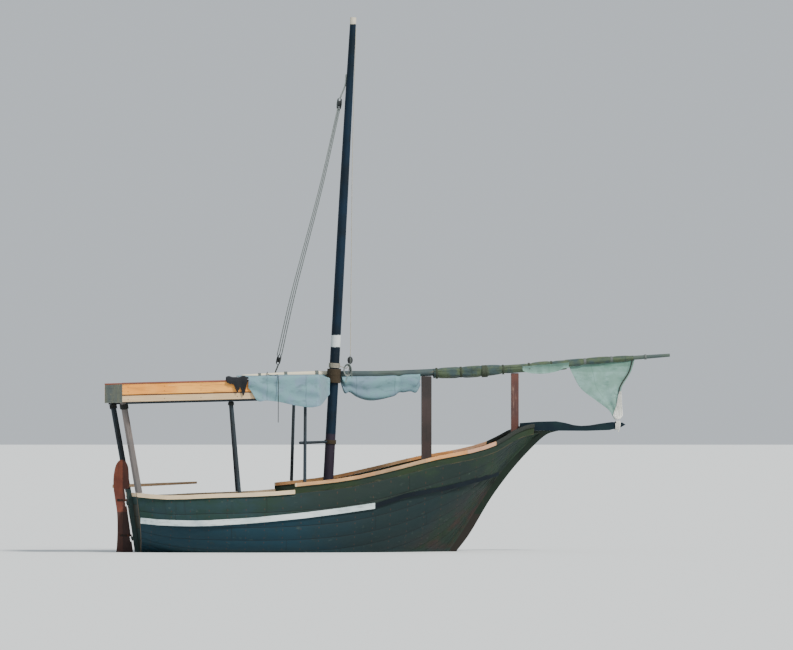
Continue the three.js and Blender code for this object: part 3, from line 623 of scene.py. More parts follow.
# %% Frames
FRAME_STEP, FRAME_WIDE, FRAME_DEEP = 0.29, 0.05, 0.046
FRAME_FIRST, FRAME_LAST = -2.42, 3.3
BESIDE_KEEL = 0.066  # a frame stops this far off the middle
ribs, ends, shape_end = plan("frames", {"Wide": FRAME_WIDE, "Deep": FRAME_DEEP})
curve = step(ribs, "GeometryNodeMeshToCurve", {0: ends["Guides"]})
section = step(ribs, "GeometryNodeCurvePrimitiveQuadrilateral", {"Width": ends["Wide"], "Height": ends["Deep"]})
swept = step(ribs, "GeometryNodeCurveToMesh", {0: curve, 1: section, "Fill Caps": True})
flat = step(ribs, "GeometryNodeSetShadeSmooth", {0: swept, "Shade Smooth": False})
close(ribs, flat, INSIDE, shape_end)


def share_at(x):
    """The share of the station table where the sheer is at x."""
    low, high = 0.0, 1.0
    for _ in range(30):
        middle = (low + high) / 2
        low, high = (middle, high) if station(middle)[0] < x else (low, middle)
    return (low + high) / 2


lines = []
for x in np.arange(FRAME_FIRST, FRAME_LAST, FRAME_STEP):
    row = station(share_at(x))
    for side in (1, -1):
        line = [hull_point(row, t, PLANK + FRAME_DEEP / 2) for t in np.linspace(0.12, 0.995, 14)]
        lines.append([Vector((p.x, side * p.y, p.z)) for p in line if p.y > BESIDE_KEEL])
grow("hull_frames", guide_lines(lines), ribs)

# %% [markdown]
# A spar is a tree trimmed round by hand, so it isn't quite round or straight. It is lofted
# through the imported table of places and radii, with small lumps that run along it. A tube
# helper carries a ring of points along a path with a frame that never twists, and also serves
# ropes, where the ring turns as it goes and so gives the strands of a laid rope.

# %% Tubes
def curve_through(points, spacing):
    """Points at an even spacing on a smooth curve through some points."""
    given = np.array([tuple(p) for p in points], float)
    pad = np.vstack([2 * given[0] - given[1], given, 2 * given[-1] - given[-2]])
    fine = []
    for i in range(len(given) - 1):
        a, b, c, d = pad[i:i + 4]
        for t in np.linspace(0, 1, 24, endpoint=False):
            fine.append(b + 0.5 * t * (c - a + t * (2 * a - 5 * b + 4 * c - d + t * (3 * (b - c) + d - a))))
    fine = np.array(fine + [given[-1]])
    reach = np.concatenate([[0], np.cumsum(np.linalg.norm(np.diff(fine, axis=0), axis=1))])
    places = np.linspace(0, reach[-1], max(2, int(round(reach[-1] / spacing)) + 1))
    return np.column_stack([np.interp(places, reach, fine[:, k]) for k in range(3)]), places


def rings_along(path, sides, radius_at):
    """Rings of points along a path. radius_at gives the radius for a ring's number and an angle."""
    tangents = np.gradient(path, axis=0)
    tangents /= np.linalg.norm(tangents, axis=1)[:, None]
    side = np.cross(tangents[0], (0, 1, 0) if abs(tangents[0][1]) < 0.9 else (1, 0, 0))
    rings = []
    for i, (p, t) in enumerate(zip(path, tangents)):
        side = side - t * side.dot(t)
        side /= np.linalg.norm(side)
        up = np.cross(t, side)
        angles = np.linspace(0, 2 * math.pi, sides, endpoint=False)
        rings.append([p + radius_at(i, a) * (math.cos(a) * side + math.sin(a) * up) for a in angles])
    return rings


def tube(rings, reach=None, closed=True):
    """Points, faces and UVs of a tube through rings. Closed, it has a flat face at each end."""
    sides = len(rings[0])
    points = [p for ring in rings for p in ring]
    faces, uvs = [], []
    reach = range(len(rings)) if reach is None else reach
    for r in range(len(rings) - 1):
        for i in range(sides):
            j = (i + 1) % sides
            faces.append([r * sides + i, r * sides + j, (r + 1) * sides + j, (r + 1) * sides + i])
            uvs += [(reach[r], i / sides), (reach[r], (i + 1) / sides),
                    (reach[r + 1], (i + 1) / sides), (reach[r + 1], i / sides)]
    if closed:
        for r, turn in ((0, -1), (len(rings) - 1, 1)):
            face = [r * sides + i for i in range(sides)][::turn]
            faces.append(face)
            uvs += [(reach[r], 0.5)] * sides
    return points, faces, uvs


def joined(parts):
    """Several (points, faces, uvs) as one."""
    points, faces, uvs = [], [], []
    for some_points, some_faces, some_uvs in parts:
        faces += [[i + len(points) for i in face] for face in some_faces]
        points += list(some_points)
        uvs += some_uvs
    return points, faces, uvs


def spar(table, sides, spacing, lump, seed):
    """A hand-trimmed spar through rows of x, y, z and radius."""
    table = np.array(table, float)
    path, reach = curve_through(table[:, :3], spacing)
    given = np.concatenate([[0], np.cumsum(np.linalg.norm(np.diff(table[:, :3], axis=0), axis=1))])
    radii = np.interp(reach, given * reach[-1] / given[-1], table[:, 3])
    dice = random.Random(seed)
    waves = [(dice.randint(1, 5), dice.uniform(0.4, 3.2), dice.uniform(0, 6.28)) for _ in range(7)]

    def radius_at(i, angle):
        wave = sum(math.sin(n * angle + k * reach[i] + phase) for n, k, phase in waves) / len(waves)
        return radii[i] * (1 + lump * wave)
    return tube(rings_along(path, sides, radius_at), reach)


print("tube helpers ready")

# %% [markdown]
# The stem is one grown timber, so its front runs in a smooth curve and its corners are
# rounded. Seen from the side it is a plain outline, so it is drawn as one and given its
# thickness, and a Bevel modifier rounds it.

# %% Stem
STEM_FRONT = [(2.06, -0.60), (2.33, -0.25), (2.52, 0.0), (2.74, 0.29), (3.06, 0.82), (3.32, 1.18), (3.535, 1.44),
              (3.725, 1.64), (3.89, 1.80), (4.02, 1.888), (4.18, 1.9297)]
STEM_BACK = [(3.64, 1.9297), (3.56, 1.85), (3.40, 1.70), (3.04, 1.22), (2.79, 0.87), (2.47, 0.35), (2.27, 0.06),
             (2.09, -0.17), (1.85, -0.43), (1.99, -0.634)]
STEM_HALF = 0.038


def side_curve(rows, spacing):
    """A smooth curve through rows of x and z."""
    path, _ = curve_through([(x, 0, z) for x, z in rows], spacing)
    return [(p[0], p[2]) for p in path]


def slab(outline, half):
    """Points and faces of a timber that has this outline, seen from the side."""
    count = len(outline)
    corners = [(x, side * half, z) for side in (-1, 1) for x, z in outline]
    sides = [[i, (i + 1) % count, count + (i + 1) % count, count + i] for i in range(count)]
    return corners, [list(range(count)), list(range(count, 2 * count))] + sides


outline = side_curve(STEM_FRONT, 0.05) + STEM_BACK
stem = make("stem_timber", *slab(outline, STEM_HALF), STEM, smooth=False)
round_edges(stem, 0.008, segments=3)
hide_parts("stem")
print("stem outline of", len(outline), "points")

# %% [markdown]
# The rudder is one board too, with a rounded head and a hollow below it. Its fore edge is
# notched at each lug of the sternpost, and a mortise lets the tiller through.

# %% Rudder board
PIN_LINE, PIN_RAKE = -2.660, -0.14
LUGS = [-0.380, 0.200, 0.760]
FORE_EDGE, NOTCH = 0.015, 0.034  # how far abaft the pins the fore edge and its notches lie
NOTCH_LOW, NOTCH_HIGH = -0.030, 0.052  # from a lug
RUDDER_HALF, SLOT_HALF = 0.024, 0.0137
TILLER_SLOT = [(-3.1, 1.0125), (-3.1, 1.0695), (-2.6, 1.0875), (-2.6, 1.0385)]
RUDDER_BACK = [(-2.945, -0.60), (-2.987, -0.30), (-2.942, 0.0), (-2.924, 0.32), (-2.930, 0.62), (-2.962, 0.84),
               (-2.988, 1.04), (-2.984, 1.22), (-2.948, 1.385), (-2.878, 1.468), (-2.802, 1.445), (-2.757, 1.365),
               (-2.743, 1.24)]


def off_pins(z, aft):
    """A place of the board at height z, this far abaft the pin line, as x and z."""
    return PIN_LINE + PIN_RAKE * z - aft, z


outline = side_curve(RUDDER_BACK, 0.03) + [(-2.740, 1.01), off_pins(1.0, FORE_EDGE)]
for lug in reversed(LUGS):
    high, low = lug + NOTCH_HIGH, lug + NOTCH_LOW
    outline += [off_pins(high, FORE_EDGE), off_pins(high, NOTCH), off_pins(low, NOTCH), off_pins(low, FORE_EDGE)]
outline.append(off_pins(-0.6, FORE_EDGE))
board = make("rudder_board", *slab(outline, RUDDER_HALF), RUDDER_RED, body="rudder", smooth=False)
mortise = make("mortise", *slab(TILLER_SLOT, SLOT_HALF), RUDDER_RED, body=None)
cut_out = board.modifiers.new("mortise", "BOOLEAN")
cut_out.operation, cut_out.object = "DIFFERENCE", mortise
board.data = bpy.data.meshes.new_from_object(board.evaluated_get(bpy.context.evaluated_depsgraph_get()))
board.modifiers.clear()
bpy.data.objects.remove(mortise)
round_edges(board, 0.005)
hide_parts("rudder")
print("rudder board of", len(board.data.polygons), "faces")

# %% [markdown]
# The mast is stepped on the keel, leans a little forward, and is painted blue-black with a
# white band where the yard's lashing works. The bands are paint, so they belong to the
# material: height on the mast chooses them, with the timber recipe's wear underneath.

# %% Mast
MAST_X, MAST_Z, MAST_RAKE = 0.516, 2.180, 0.0548
MAST_RADII = [(-0.430, 0.084), (2.180, 0.080), (3.620, 0.076), (5.780, 0.070), (7.220, 0.060),
              (8.440, 0.048), (8.485, 0.043), (8.500, 0.026)]
BAND_SOFT = 0.012  # over which a band's edge fades


def mast_x(z):
    """Where the mast's middle line is at height z."""
    return MAST_X + MAST_RAKE * (z - MAST_Z)


def add_bands(material, axis, bands):
    """Paints bands over a material's colour: where each starts and ends, its colour and its cover."""
    tree, shader, colour = paint_so_far(material)
    ragged = pattern(tree, (1, 1, 1), 30, 3, 0.6, seed=4)
    value = step(tree, "add", coordinate(tree, axis), step(tree, "multiply", ragged, 0.03))
    for low, high, code, cover in bands:
        inside = step(tree, "multiply", step(tree, "between", value, low, low + BAND_SOFT),
                      step(tree, "between", value, high, high - BAND_SOFT))
        colour = step(tree, "mixed", step(tree, "multiply", inside, cover), colour, linear(code))
    fill(tree, shader, {"Base Color": colour})


MAST = timber("blue_black_mast_paint", "061f31", "061723", "46524f", along="Z", worn=0.3, rough=0.55)
add_bands(MAST, "Z", [(3.275, 3.475, "d4dcda", 0.92), (8.43, 8.6, "c9c2ae", 0.95), (-0.5, 1.9, "3a2c36", 0.6)])
MAST.node_tree.nodes["Principled BSDF"].inputs["Specular IOR Level"].default_value = 0.2
mast_rows = [(mast_x(z), 0, z, radius) for z, radius in MAST_RADII]
points, faces, uvs = spar(mast_rows, 28, 0.09, 0.018, seed=11)
mast = make("mast_spar", points, faces, MAST, uvs=uvs)
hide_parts("mast")
print("mast:", len(faces), "faces")

# %% [markdown]
# The yard is thinner and rougher than the mast and bends a little on its way forward, so the
# same helper makes it from a table of its own, with bigger lumps. Abaft the mast its upper side
# has bleached almost white: how far aft a place is and which way it faces choose the colour.

# %% Yard
YARD_ROWS = np.array([
    (-0.907, 0.190, 2.790, 0.034), (-0.300, 0.182, 2.812, 0.048), (0.450, 0.172, 2.832, 0.054),
    (1.300, 0.160, 2.832, 0.056), (2.100, 0.140, 2.862, 0.056), (2.740, 0.120, 2.895, 0.054),
    (3.496, 0.090, 2.942, 0.050), (4.190, 0.066, 2.998, 0.045), (4.836, 0.046, 3.062, 0.038),
    (5.480, 0.028, 3.104, 0.033), (5.995, 0.016, 3.142, 0.026)])


def yard_at(x):
    """y, z and radius of the yard at x."""
    return tuple(float(np.interp(x, YARD_ROWS[:, 0], YARD_ROWS[:, k])) for k in (1, 2, 3))


YARD = timber("weathered_yard", "46544c", "37474a", "75705c", along="X", worn=0.42, rough=0.75, grain=0.005)
tree, shader, colour = paint_so_far(YARD)
normal = step(tree, "ShaderNodeNewGeometry", {}).outputs["Normal"]
facing = step(tree, "ShaderNodeSeparateXYZ", {0: normal}).outputs["Z"]
lit = step(tree, "multiply", step(tree, "between", facing, -0.45, 0.1),
           step(tree, "between", coordinate(tree, "X"), 0.62, 0.40))
colour = step(tree, "mixed", step(tree, "multiply", lit, 0.85), colour, linear("e9dfc3"))
fill(tree, shader, {"Base Color": colour})
points, faces, uvs = spar(YARD_ROWS, 20, 0.06, 0.03, seed=5)
yard = make("yard_spar", points, faces, YARD, body="rig", uvs=uvs)
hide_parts("yard")
print("yard:", len(faces), "faces")

# %% [markdown]
# The rope here is laid: three strands turned round each other. Standing parts that show close
# up get real strands, because the tube's ring has three lobes that turn as it goes. Its
# material is hemp or sun-bleached polypropylene, dull and hairy, and the strand's own angle in
# the UV map picks out the grooves between the strands, which get painted shade.

# %% Rope
ROPE_LAY = 0.055  # a strand goes round once in this length
LOBE_SHARE = 0.1  # of the radius, by which a strand stands out


def rope_material(name, code, shadow):
    """Laid rope. The UV map has metres along and a share round."""
    made, tree, shader = new_material(name)
    along, around = along_and_across(tree)
    turned = step(tree, "add", step(tree, "multiply", along, 1 / ROPE_LAY), around)
    strand = step(tree, "fract", step(tree, "multiply", turned, 3.0))
    groove = step(tree, "between", step(tree, "absolute", step(tree, "subtract", strand, 0.5)), 0.28, 0.5)
    hairs = pattern(tree, (1, 1, 1), 260, 2, 0.6, seed=6)
    colour = step(tree, "mixed", hairs, linear(code), linear(shadow))
    colour = step(tree, "mixed", 0.5, colour, linear(code))
    # painted shade: the grooves between the strands are darkened towards the shadow colour
    colour = step(tree, "mixed", step(tree, "multiply", groove, 0.7), colour, linear(shadow))
    height = step(tree, "subtract", step(tree, "multiply", hairs, 0.3), groove)
    bump = step(tree, "ShaderNodeBump", {"Height": height, "Strength": 0.8, "Distance": 0.003})
    fill(tree, shader, {"Base Color": colour, "Normal": bump, "Roughness": 0.92})
    return made


PALE_ROPE = rope_material("bleached_laid_rope", "c9c4b2", "7d776a")
WHITE_ROPE = rope_material("white_cotton_rope", "ecece2", "b1afa2")
BROWN_ROPE = rope_material("tanned_hemp_rope", "5f5138", "2a2218")
GREY_ROPE = rope_material("grey_halyard_rope", "8b948f", "4d5452")
OLIVE_ROPE = rope_material("mildewed_rope", "5c6650", "2b3328")
DARK_ROPE = rope_material("tarred_rope", "3b3d38", "1c1e1d")


def rope(points, radius, sides=9, spacing=None):
    """A laid rope through points: (points, faces, uvs)."""
    path, reach = curve_through(points, spacing or max(radius * 1.1, 0.008))

    def radius_at(i, angle):
        lobe = math.cos(3 * (angle + 2 * math.pi * reach[i] / ROPE_LAY))
        return radius * (1 - LOBE_SHARE + LOBE_SHARE * lobe)
    return tube(rings_along(path, sides, radius_at), reach)


print("ropes:", [m.name for m in (PALE_ROPE, GREY_ROPE, DARK_ROPE)])

# %% [markdown]
# Lashings go round the spars in many places, and they are all the same thing at different
# sizes: a few turns of rope side by side. The tree puts one coil of turns on each guide point,
# turned to the point's direction and scaled by its size.

# %% Lashings
LASH_RADIUS, LASH_ROPE = 0.06, 0.007  # of a lashing of size 1, and of its rope
lash, ends, shape_end = plan("lashings", {
    "Turns": 5, "Wide": 0.05, "Spar Radius": LASH_RADIUS, "Rope Radius": LASH_ROPE})
coil = step(lash, "GeometryNodeCurveSpiral", {
    "Resolution": 26, "Rotations": ends["Turns"], "Start Radius": ends["Spar Radius"],
    "End Radius": ends["Spar Radius"], "Height": ends["Wide"]})
half_back = step(lash, "ShaderNodeCombineXYZ", {2: step(lash, "multiply", ends["Wide"], -0.5)})
centred = step(lash, "GeometryNodeTransform", {0: coil, "Translation": half_back})
strand = step(lash, "GeometryNodeCurvePrimitiveCircle", {"Resolution": 7, "Radius": ends["Rope Radius"]})
wound = step(lash, "GeometryNodeCurveToMesh", {0: centred, 1: strand, "Fill Caps": True})
on_guides(lash, ends["Guides"], wound, PALE_ROPE, shape_end)


def yard_way(x):
    """The yard's direction at x."""
    ahead, here = yard_at(x + 0.05), yard_at(x - 0.05)
    return Vector((0.1, ahead[0] - here[0], ahead[1] - here[1])).normalized()


def on_yard(x, below=0.0, size=1.0):
    """A guide point on the yard at x."""
    y, z, _ = yard_at(x)
    return Vector((x, y, z - below)), yard_way(x), size


def on_mast(z):
    """A guide point on the mast at height z."""
    return Vector((mast_x(z), 0, z)), Vector((MAST_RAKE, 0, 1)).normalized(), 1.0


bare_yard = [on_yard(x, size=(yard_at(x)[2] + LASH_ROPE) / LASH_RADIUS)
             for x in (-0.62, -0.2, 0.3, 4.62, 5.05, 5.6)]
grow("yard_lashings", guide_points(bare_yard), lash, body="rig", finish=GREY_ROPE)
grow("mast_rope_band", guide_points([on_mast(2.972)]), lash,
     Turns=6, Wide=0.075, Spar_Radius=0.0855, Rope_Radius=0.0065)
parrel = grow("parrel_turns", guide_points([on_mast(2.752), on_mast(2.862)]), lash, body="rig",
              finish=BROWN_ROPE, Turns=7, Wide=0.105, Spar_Radius=0.104, Rope_Radius=0.0095)
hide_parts("parrel")

# %% [markdown]
# The sail is thin cotton canvas, bleached and a little green from damp, and light comes
# through it; the blue in the loose cloth's colour is painted sky light seen through it. It is
# one lateen sail, stopped along the yard: rolled tight before the fore crutch, and left in loose
# swags elsewhere. A Translucent shader under the cloth's own lets the far side's light through.
# Real threads are half a millimetre apart, so the weave is drawn four times coarser, where it
# still shows close up.

# %% Sail cloth
CLOTH_WIDE = 0.62  # from one seam between the sail's cloths to the next
THREAD_STEP = 0.002


def canvas(name, code, second, shade, through=0.3):
    """Thin plain-woven canvas. The UV map is in metres along and across the cloth."""
    made, tree, shader = new_material(name)
    ways = along_and_across(tree)
    blotch = pattern(tree, (1, 1, 1), 5, 5, 0.6, seed=12)
    damp = step(tree, "between", pattern(tree, (0.4, 1, 1), 11, 5, 0.65, seed=17), 0.5, 0.72)
    colour = step(tree, "mixed", step(tree, "between", blotch, 0.4, 0.62), linear(code), linear(second))
    colour = step(tree, "mixed", step(tree, "multiply", damp, 0.55), colour, linear(shade))
    place = step(tree, "fract", step(tree, "multiply", ways[0], 1 / CLOTH_WIDE))
    seam = step(tree, "between", step(tree, "absolute", step(tree, "subtract", place, 0.5)), 0.014, 0.009)
    colour = step(tree, "mixed", step(tree, "multiply", seam, 0.35), colour, linear(shade))
    threads = [step(tree, "sine", step(tree, "multiply", way, 2 * math.pi / THREAD_STEP)) for way in ways]
    crumple = pattern(tree, (1, 1, 1), 38, 4, 0.6, seed=3)
    weave = step(tree, "multiply", *threads)
    height = step(tree, "add", step(tree, "multiply", weave, 0.05), crumple)
    height = step(tree, "add", height, step(tree, "multiply", seam, 0.4))
    bump = step(tree, "ShaderNodeBump", {"Height": height, "Strength": 0.5, "Distance": 0.006})
    fill(tree, shader, {"Base Color": colour, "Normal": bump, "Roughness": 0.9, "Sheen Weight": 0.15})
    glow = step(tree, "ShaderNodeBsdfTranslucent", {"Color": colour, "Normal": bump})
    both_ways = step(tree, "ShaderNodeMixShader", {0: through, 1: shader, 2: glow})
    fill(tree, tree.nodes["Material Output"], {"Surface": both_ways})
    return made


# its blue-grey is partly the cloth's own tone and partly painted sky light seen through the thin cloth
CANVAS = canvas("bleached_canvas", "84adb4", "88a4b6", "506f70")
DAMP_CANVAS = canvas("damp_green_canvas", "9cbfb8", "8bb0a4", "5f8c7c", through=0.35)
ROLLED = canvas("damp_rolled_canvas", "4b5a41", "36494a", "1d2a25", through=0.05)
WHITE_CLOTH = canvas("white_gathered_canvas", "fbfbf6", "f0f1ea", "cdd2c8", through=0.1)
add_bands(DAMP_CANVAS, "Z", [(2.88, 3.2, "55806b", 0.3), (2.97, 3.2, "4d7863", 0.4)])
print("canvas finishes made")

# %% [markdown]
# Rolled and swagged cloth is one open sheet that goes round the yard a little more than once.
# The table gives how far its middle hangs below the yard, and its half height and half width.
# Folds run along the roll, so they are waves round it, whose phase drifts slowly lengthwise.

# %% Gathered sail
CLOTH_THICK = 0.002


def grid_sheet(name, rows, material, body, uv_rows):
    """A sheet through rows of points, with a thickness and one level of subdivision."""
    count = len(rows[0])
    points = [p for row in rows for p in row]
    faces, uvs = [], []
    for r in range(len(rows) - 1):
        for i in range(count - 1):
            face = [(r, i), (r, i + 1), (r + 1, i + 1), (r + 1, i)]
            faces.append([a * count + b for a, b in face])
            uvs += [uv_rows[a][b] for a, b in face]
    made = make(name, points, faces, material, body=None, uvs=uvs)
    wall = made.modifiers.new("thickness", "SOLIDIFY")
    wall.thickness, wall.offset = CLOTH_THICK, 0
    smooth = made.modifiers.new("smooth", "SUBSURF")
    smooth.levels = smooth.render_levels = 1
    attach(made, body)
    return made


def measured(rows):
    """Mean length of the rows, and of the columns."""
    grid = np.array([[tuple(p) for p in row] for row in rows])
    across = np.linalg.norm(np.diff(grid, axis=1), axis=2).sum(axis=1).mean()
    along = np.linalg.norm(np.diff(grid, axis=0), axis=2).sum(axis=0).mean()
    return float(across), float(along)


def eased(x, places, values):
    """A smooth curve through a table's rows, at x."""
    slopes = np.gradient(values, places)
    i = min(max(int(np.searchsorted(places, x)) - 1, 0), len(places) - 2)
    wide = places[i + 1] - places[i]
    t = (x - places[i]) / wide
    ends = (1 + 2 * t) * (1 - t) ** 2 * values[i] + t * t * (3 - 2 * t) * values[i + 1]
    return float(ends + t * (1 - t) * wide * ((1 - t) * slopes[i] - t * slopes[i + 1]))


def gathered(name, table, turns, start, folds, depth, material, seed, ties=(), columns=70, around=90):
    """A sheet gathered along the yard. table has x, how far its middle hangs below the yard, and
    its half height and half width there. It starts at an angle and goes round this many turns.
    folds is how many there are round the yard and depth how deep they are, and ties are where
    it is drawn in."""
    table = np.array(table, float)
    dice = random.Random(seed)
    waves = [(dice.uniform(0.7, 1.3) * folds, dice.uniform(-5, 5), dice.uniform(0, 6.28),
              dice.uniform(0.4, 1.0)) for _ in range(6)]
    rows, uv_rows = [], []
    for x in np.linspace(table[0, 0], table[-1, 0], columns):
        drop, high, wide = (eased(x, table[:, 0], table[:, k]) for k in (1, 2, 3))
        y, z, _ = yard_at(x)
        tie = 1 - 0.16 * sum(math.exp(-((x - t) / 0.045) ** 2) for t in ties)
        row, uv_row = [], []
        for k in range(around):
            share = k / (around - 1)
            angle = start + 2 * math.pi * turns * share
            fold = depth * sum(w * math.sin(n * angle + drift * x + phase) for n, drift, phase, w in waves) / 2.4
            low = 0.35 + 0.65 * (0.5 - 0.5 * math.sin(angle))  # folds are deepest underneath
            reach = (0.93 + 0.07 * share) * tie
            out = fold * low * tie
            row.append(Vector((x + 0.3 * out, y + (wide * reach + out) * math.cos(angle),
                               z - drop + (high * reach + out) * math.sin(angle))))
            uv_row.append((x, share * turns * math.pi * (high + wide)))
        rows.append(row)
        uv_rows.append(uv_row)
    made = grid_sheet(name, rows, material, "rig", uv_rows)
    print(name, "flat size", [round(v, 2) for v in measured(rows)])
    return made


FURL_TIES = [2.23, 2.62, 2.98, 3.3, 3.72, 4.08]
furl = gathered("sail_furled", [
    (2.18, 0.020, 0.084, 0.084), (2.6, 0.022, 0.090, 0.090), (3.1, 0.022, 0.090, 0.090),
    (3.39, 0.020, 0.068, 0.086), (3.6, 0.020, 0.068, 0.084), (3.9, 0.022, 0.086, 0.082),
    (4.33, 0.020, 0.074, 0.072)], 1.25, 1.2, 5, 0.007, ROLLED, seed=3, ties=FURL_TIES)
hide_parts("sail_furl")
middle = gathered("sail_swag", [
    (0.69, 0.075, 0.081, 0.066), (0.74, 0.148, 0.160, 0.074), (0.81, 0.140, 0.150, 0.078),
    (0.93, 0.172, 0.190, 0.081), (1.10, 0.198, 0.223, 0.082), (1.36, 0.195, 0.218, 0.082),
    (1.54, 0.176, 0.198, 0.082), (1.68, 0.146, 0.167, 0.082), (1.80, 0.132, 0.152, 0.082),
    (1.91, 0.132, 0.150, 0.080), (1.96, 0.078, 0.094, 0.074)],
    1.06, 1.45, 5, 0.030, CANVAS, seed=9, ties=[1.62])
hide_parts("sail_bunt_mid")
tied = [on_yard(x, 0.02, 1.0 if x < 3.3 else 0.9) for x in FURL_TIES]
grow("furl_ties", guide_points(tied), lash, body="rig", finish=OLIVE_ROPE,
     Turns=3, Wide=0.03, Spar_Radius=0.083, Rope_Radius=0.006)
grow("furl_knot", guide_points([on_yard(3.0, 0.028)]), lash, body="rig", finish=OLIVE_ROPE,
     Turns=8, Wide=0.085, Spar_Radius=0.088, Rope_Radius=0.010)

# %% [markdown]
# Forward, the sail's tack hangs as a triangle from the yard down to the beak. Its leech is a
# hollow curve and its luff is bent where the bolt rope pulls, so both edges are written as
# curves and the cloth is spread between them. Folds fan out from the lashed lower corner.

# %% Hanging tack
LEECH = [(4.352, 2.985), (4.44, 2.80), (4.56, 2.60), (4.80, 2.415), (5.00, 2.265), (5.08, 2.14), (5.10, 2.112)]
LUFF = [(5.430, 3.085), (5.37, 2.88), (5.27, 2.72), (5.212, 2.60), (5.196, 2.42), (5.182, 2.20), (5.145, 2.112)]
DOWN, OVER = 64, 48


def edge_points(edge):
    """As many places on an edge of the sail as it has rows."""
    path, _ = curve_through([(x, 0, z) for x, z in edge], 0.01)
    return path[np.linspace(0, len(path) - 1, DOWN).astype(int)]


leech, luff = edge_points(LEECH), edge_points(LUFF)
rows, uv_rows = [], []
dice = random.Random(7)
waves = [(dice.uniform(3, 11), dice.uniform(0, 6.28), dice.uniform(0.4, 1)) for _ in range(6)]
for r in range(DOWN):
    v = r / (DOWN - 1)
    row, uv_row = [], []
    width = float(luff[r][0] - leech[r][0])
    for i in range(OVER):
        u = i / (OVER - 1)
        p = leech[r] * (1 - u) + luff[r] * u
        depth = 0.011 * math.sin(math.pi * min(v * 1.6, 1) / 2)
        fold = depth * sum(w * math.sin(n * u * 2.4 + phase + 1.3 * v) for n, phase, w in waves) / 2
        fold += 0.013 * math.sin(15 * v + 2.5 * u) * math.exp(-3.2 * v) * math.sin(math.pi * u) ** 0.5
        belly = -0.05 * math.sin(math.pi * u) * math.sin(math.pi * v)
        row.append(Vector((p[0], yard_at(p[0])[0] * (1 - 0.4 * v) + fold + 0.35 * belly, p[2])))
        uv_row.append((4.3 + u * 1.05, v * 1.05))
    rows.append(row)
    uv_rows.append(uv_row)
tack = grid_sheet("sail_tack_cloth", rows, DAMP_CANVAS, "rig", uv_rows)
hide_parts("sail_tack")
print("tack cloth area", round(sum(face.area for face in tack.data.polygons), 3))
bolt_line = [(x - 0.035, yard_at(x)[0] * (1 - 0.4 * i / 6) - 0.016, z) for i, (x, z) in enumerate(LUFF)]
points, faces, uvs = rope(bolt_line[:5], 0.012)
make("bolt_rope", points, faces, DARK_ROPE, body="rig", uvs=uvs)

# %% [markdown]
# Abaft the mast the loose sail lies over the fore end of the roof and hangs down its
# starboard side. It is one sheet again: a path across the roof and over its edge is written
# for each place along the boat, and folds like hung swags run along it.

# %% After swag
ROOF_AFT, ROOF_FORE, ROOF_HALF = -2.990, 0.110, 1.200
ROOF_Z, ROOF_RISE = 2.372, 0.026  # the side boards' foot at the roof's after end, and its rise forward
TRIM_TOP, TRIM_OUT, CLEAR = 0.316, 0.008, 0.006
EDGE = -(ROOF_HALF + TRIM_OUT + CLEAR)
SWAG_AFT, SWAG_FORE = -0.99, 0.42
# places along the boat and how far the sail hangs there
HANG = [(-1.00, 0.13), (-0.94, 0.20), (-0.88, 0.315), (-0.70, 0.345), (-0.52, 0.37), (-0.22, 0.44), (0.06, 0.47),
        (0.25, 0.41), (0.42, 0.28)]


def roof_z(x):
    """Height of the side boards' foot at x."""
    return ROOF_Z + ROOF_RISE * (x - ROOF_AFT)


def smoothly(value, low, high):
    """0 below low, 1 above high, and smooth between them."""
    t = min(max((value - low) / (high - low), 0.0), 1.0)
    return t * t * (3 - 2 * t)


def over_roof(x):
    """The sail's path across the roof at x: from the yard to its hem, as y and z."""
    top = roof_z(x) + TRIM_TOP + CLEAR
    drop = eased(x, *np.array(HANG).T)
    free = smoothly(x, ROOF_FORE, SWAG_FORE)  # past the roof the cloth sags and draws in to the mast
    path = [(yard_at(x)[0] + 0.055, top + 0.05), (0.08, top + 0.052), (-0.2, top + 0.03),
            (-0.65, top + 0.028), (EDGE + 0.12, top + 0.036), (EDGE + 0.01, top + 0.036),
            (EDGE - 0.026, top + 0.008), (EDGE - 0.03, top - 0.35 * drop),
            (EDGE - 0.024, top - 0.7 * drop), (EDGE - 0.018, top - drop)]
    return [(x, y * (1 - 0.62 * free) if y < 0 else y, z - 0.05 * free * math.sin(math.pi * i / 9))
            for i, (y, z) in enumerate(path)]


dice = random.Random(15)
waves = [(dice.uniform(0.09, 0.24), dice.uniform(-4, 4), dice.uniform(0, 6.28), dice.uniform(0.5, 1))
         for _ in range(6)]
rows, uv_rows = [], []
for x in np.linspace(SWAG_AFT, SWAG_FORE, 78):
    path, _ = curve_through(over_roof(x), 0.006)
    path = path[np.linspace(0, len(path) - 1, 110).astype(int)]
    reach = np.concatenate([[0], np.cumsum(np.linalg.norm(np.diff(path, axis=0), axis=1))])
    swag = 1 - ((x - 0.02) / 0.75) ** 2
    row, uv_row = [], []
    for p, s in zip(path, reach):
        wave = sum(w * math.sin(2 * math.pi * (s - 0.16 * swag) / size + k * x + phase)
                   for size, k, phase, w in waves) / 3
        side = smoothly(-p[1], ROOF_HALF - 0.05, ROOF_HALF + 0.02)
        lift = wave * 0.016 * (1 - side)
        out = wave * 0.021 * side * smoothly(s, 0, 0.1)
        row.append(Vector((p[0] + 0.004 * wave, p[1] - out, p[2] + lift)))
        uv_row.append((x + 1.0, s))
    rows.append(row)
    uv_rows.append(uv_row)
after = grid_sheet("sail_over_roof", rows, CANVAS, "rig", uv_rows)
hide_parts("sail_bunt_aft")
print("after swag flat size", [round(v, 2) for v in measured(rows)])

# %% [markdown]
# Above the tack only a thin roll of the sail is left on the yard. It is gathered as the rest
# is, with a smaller table, finer folds and ties of its own.

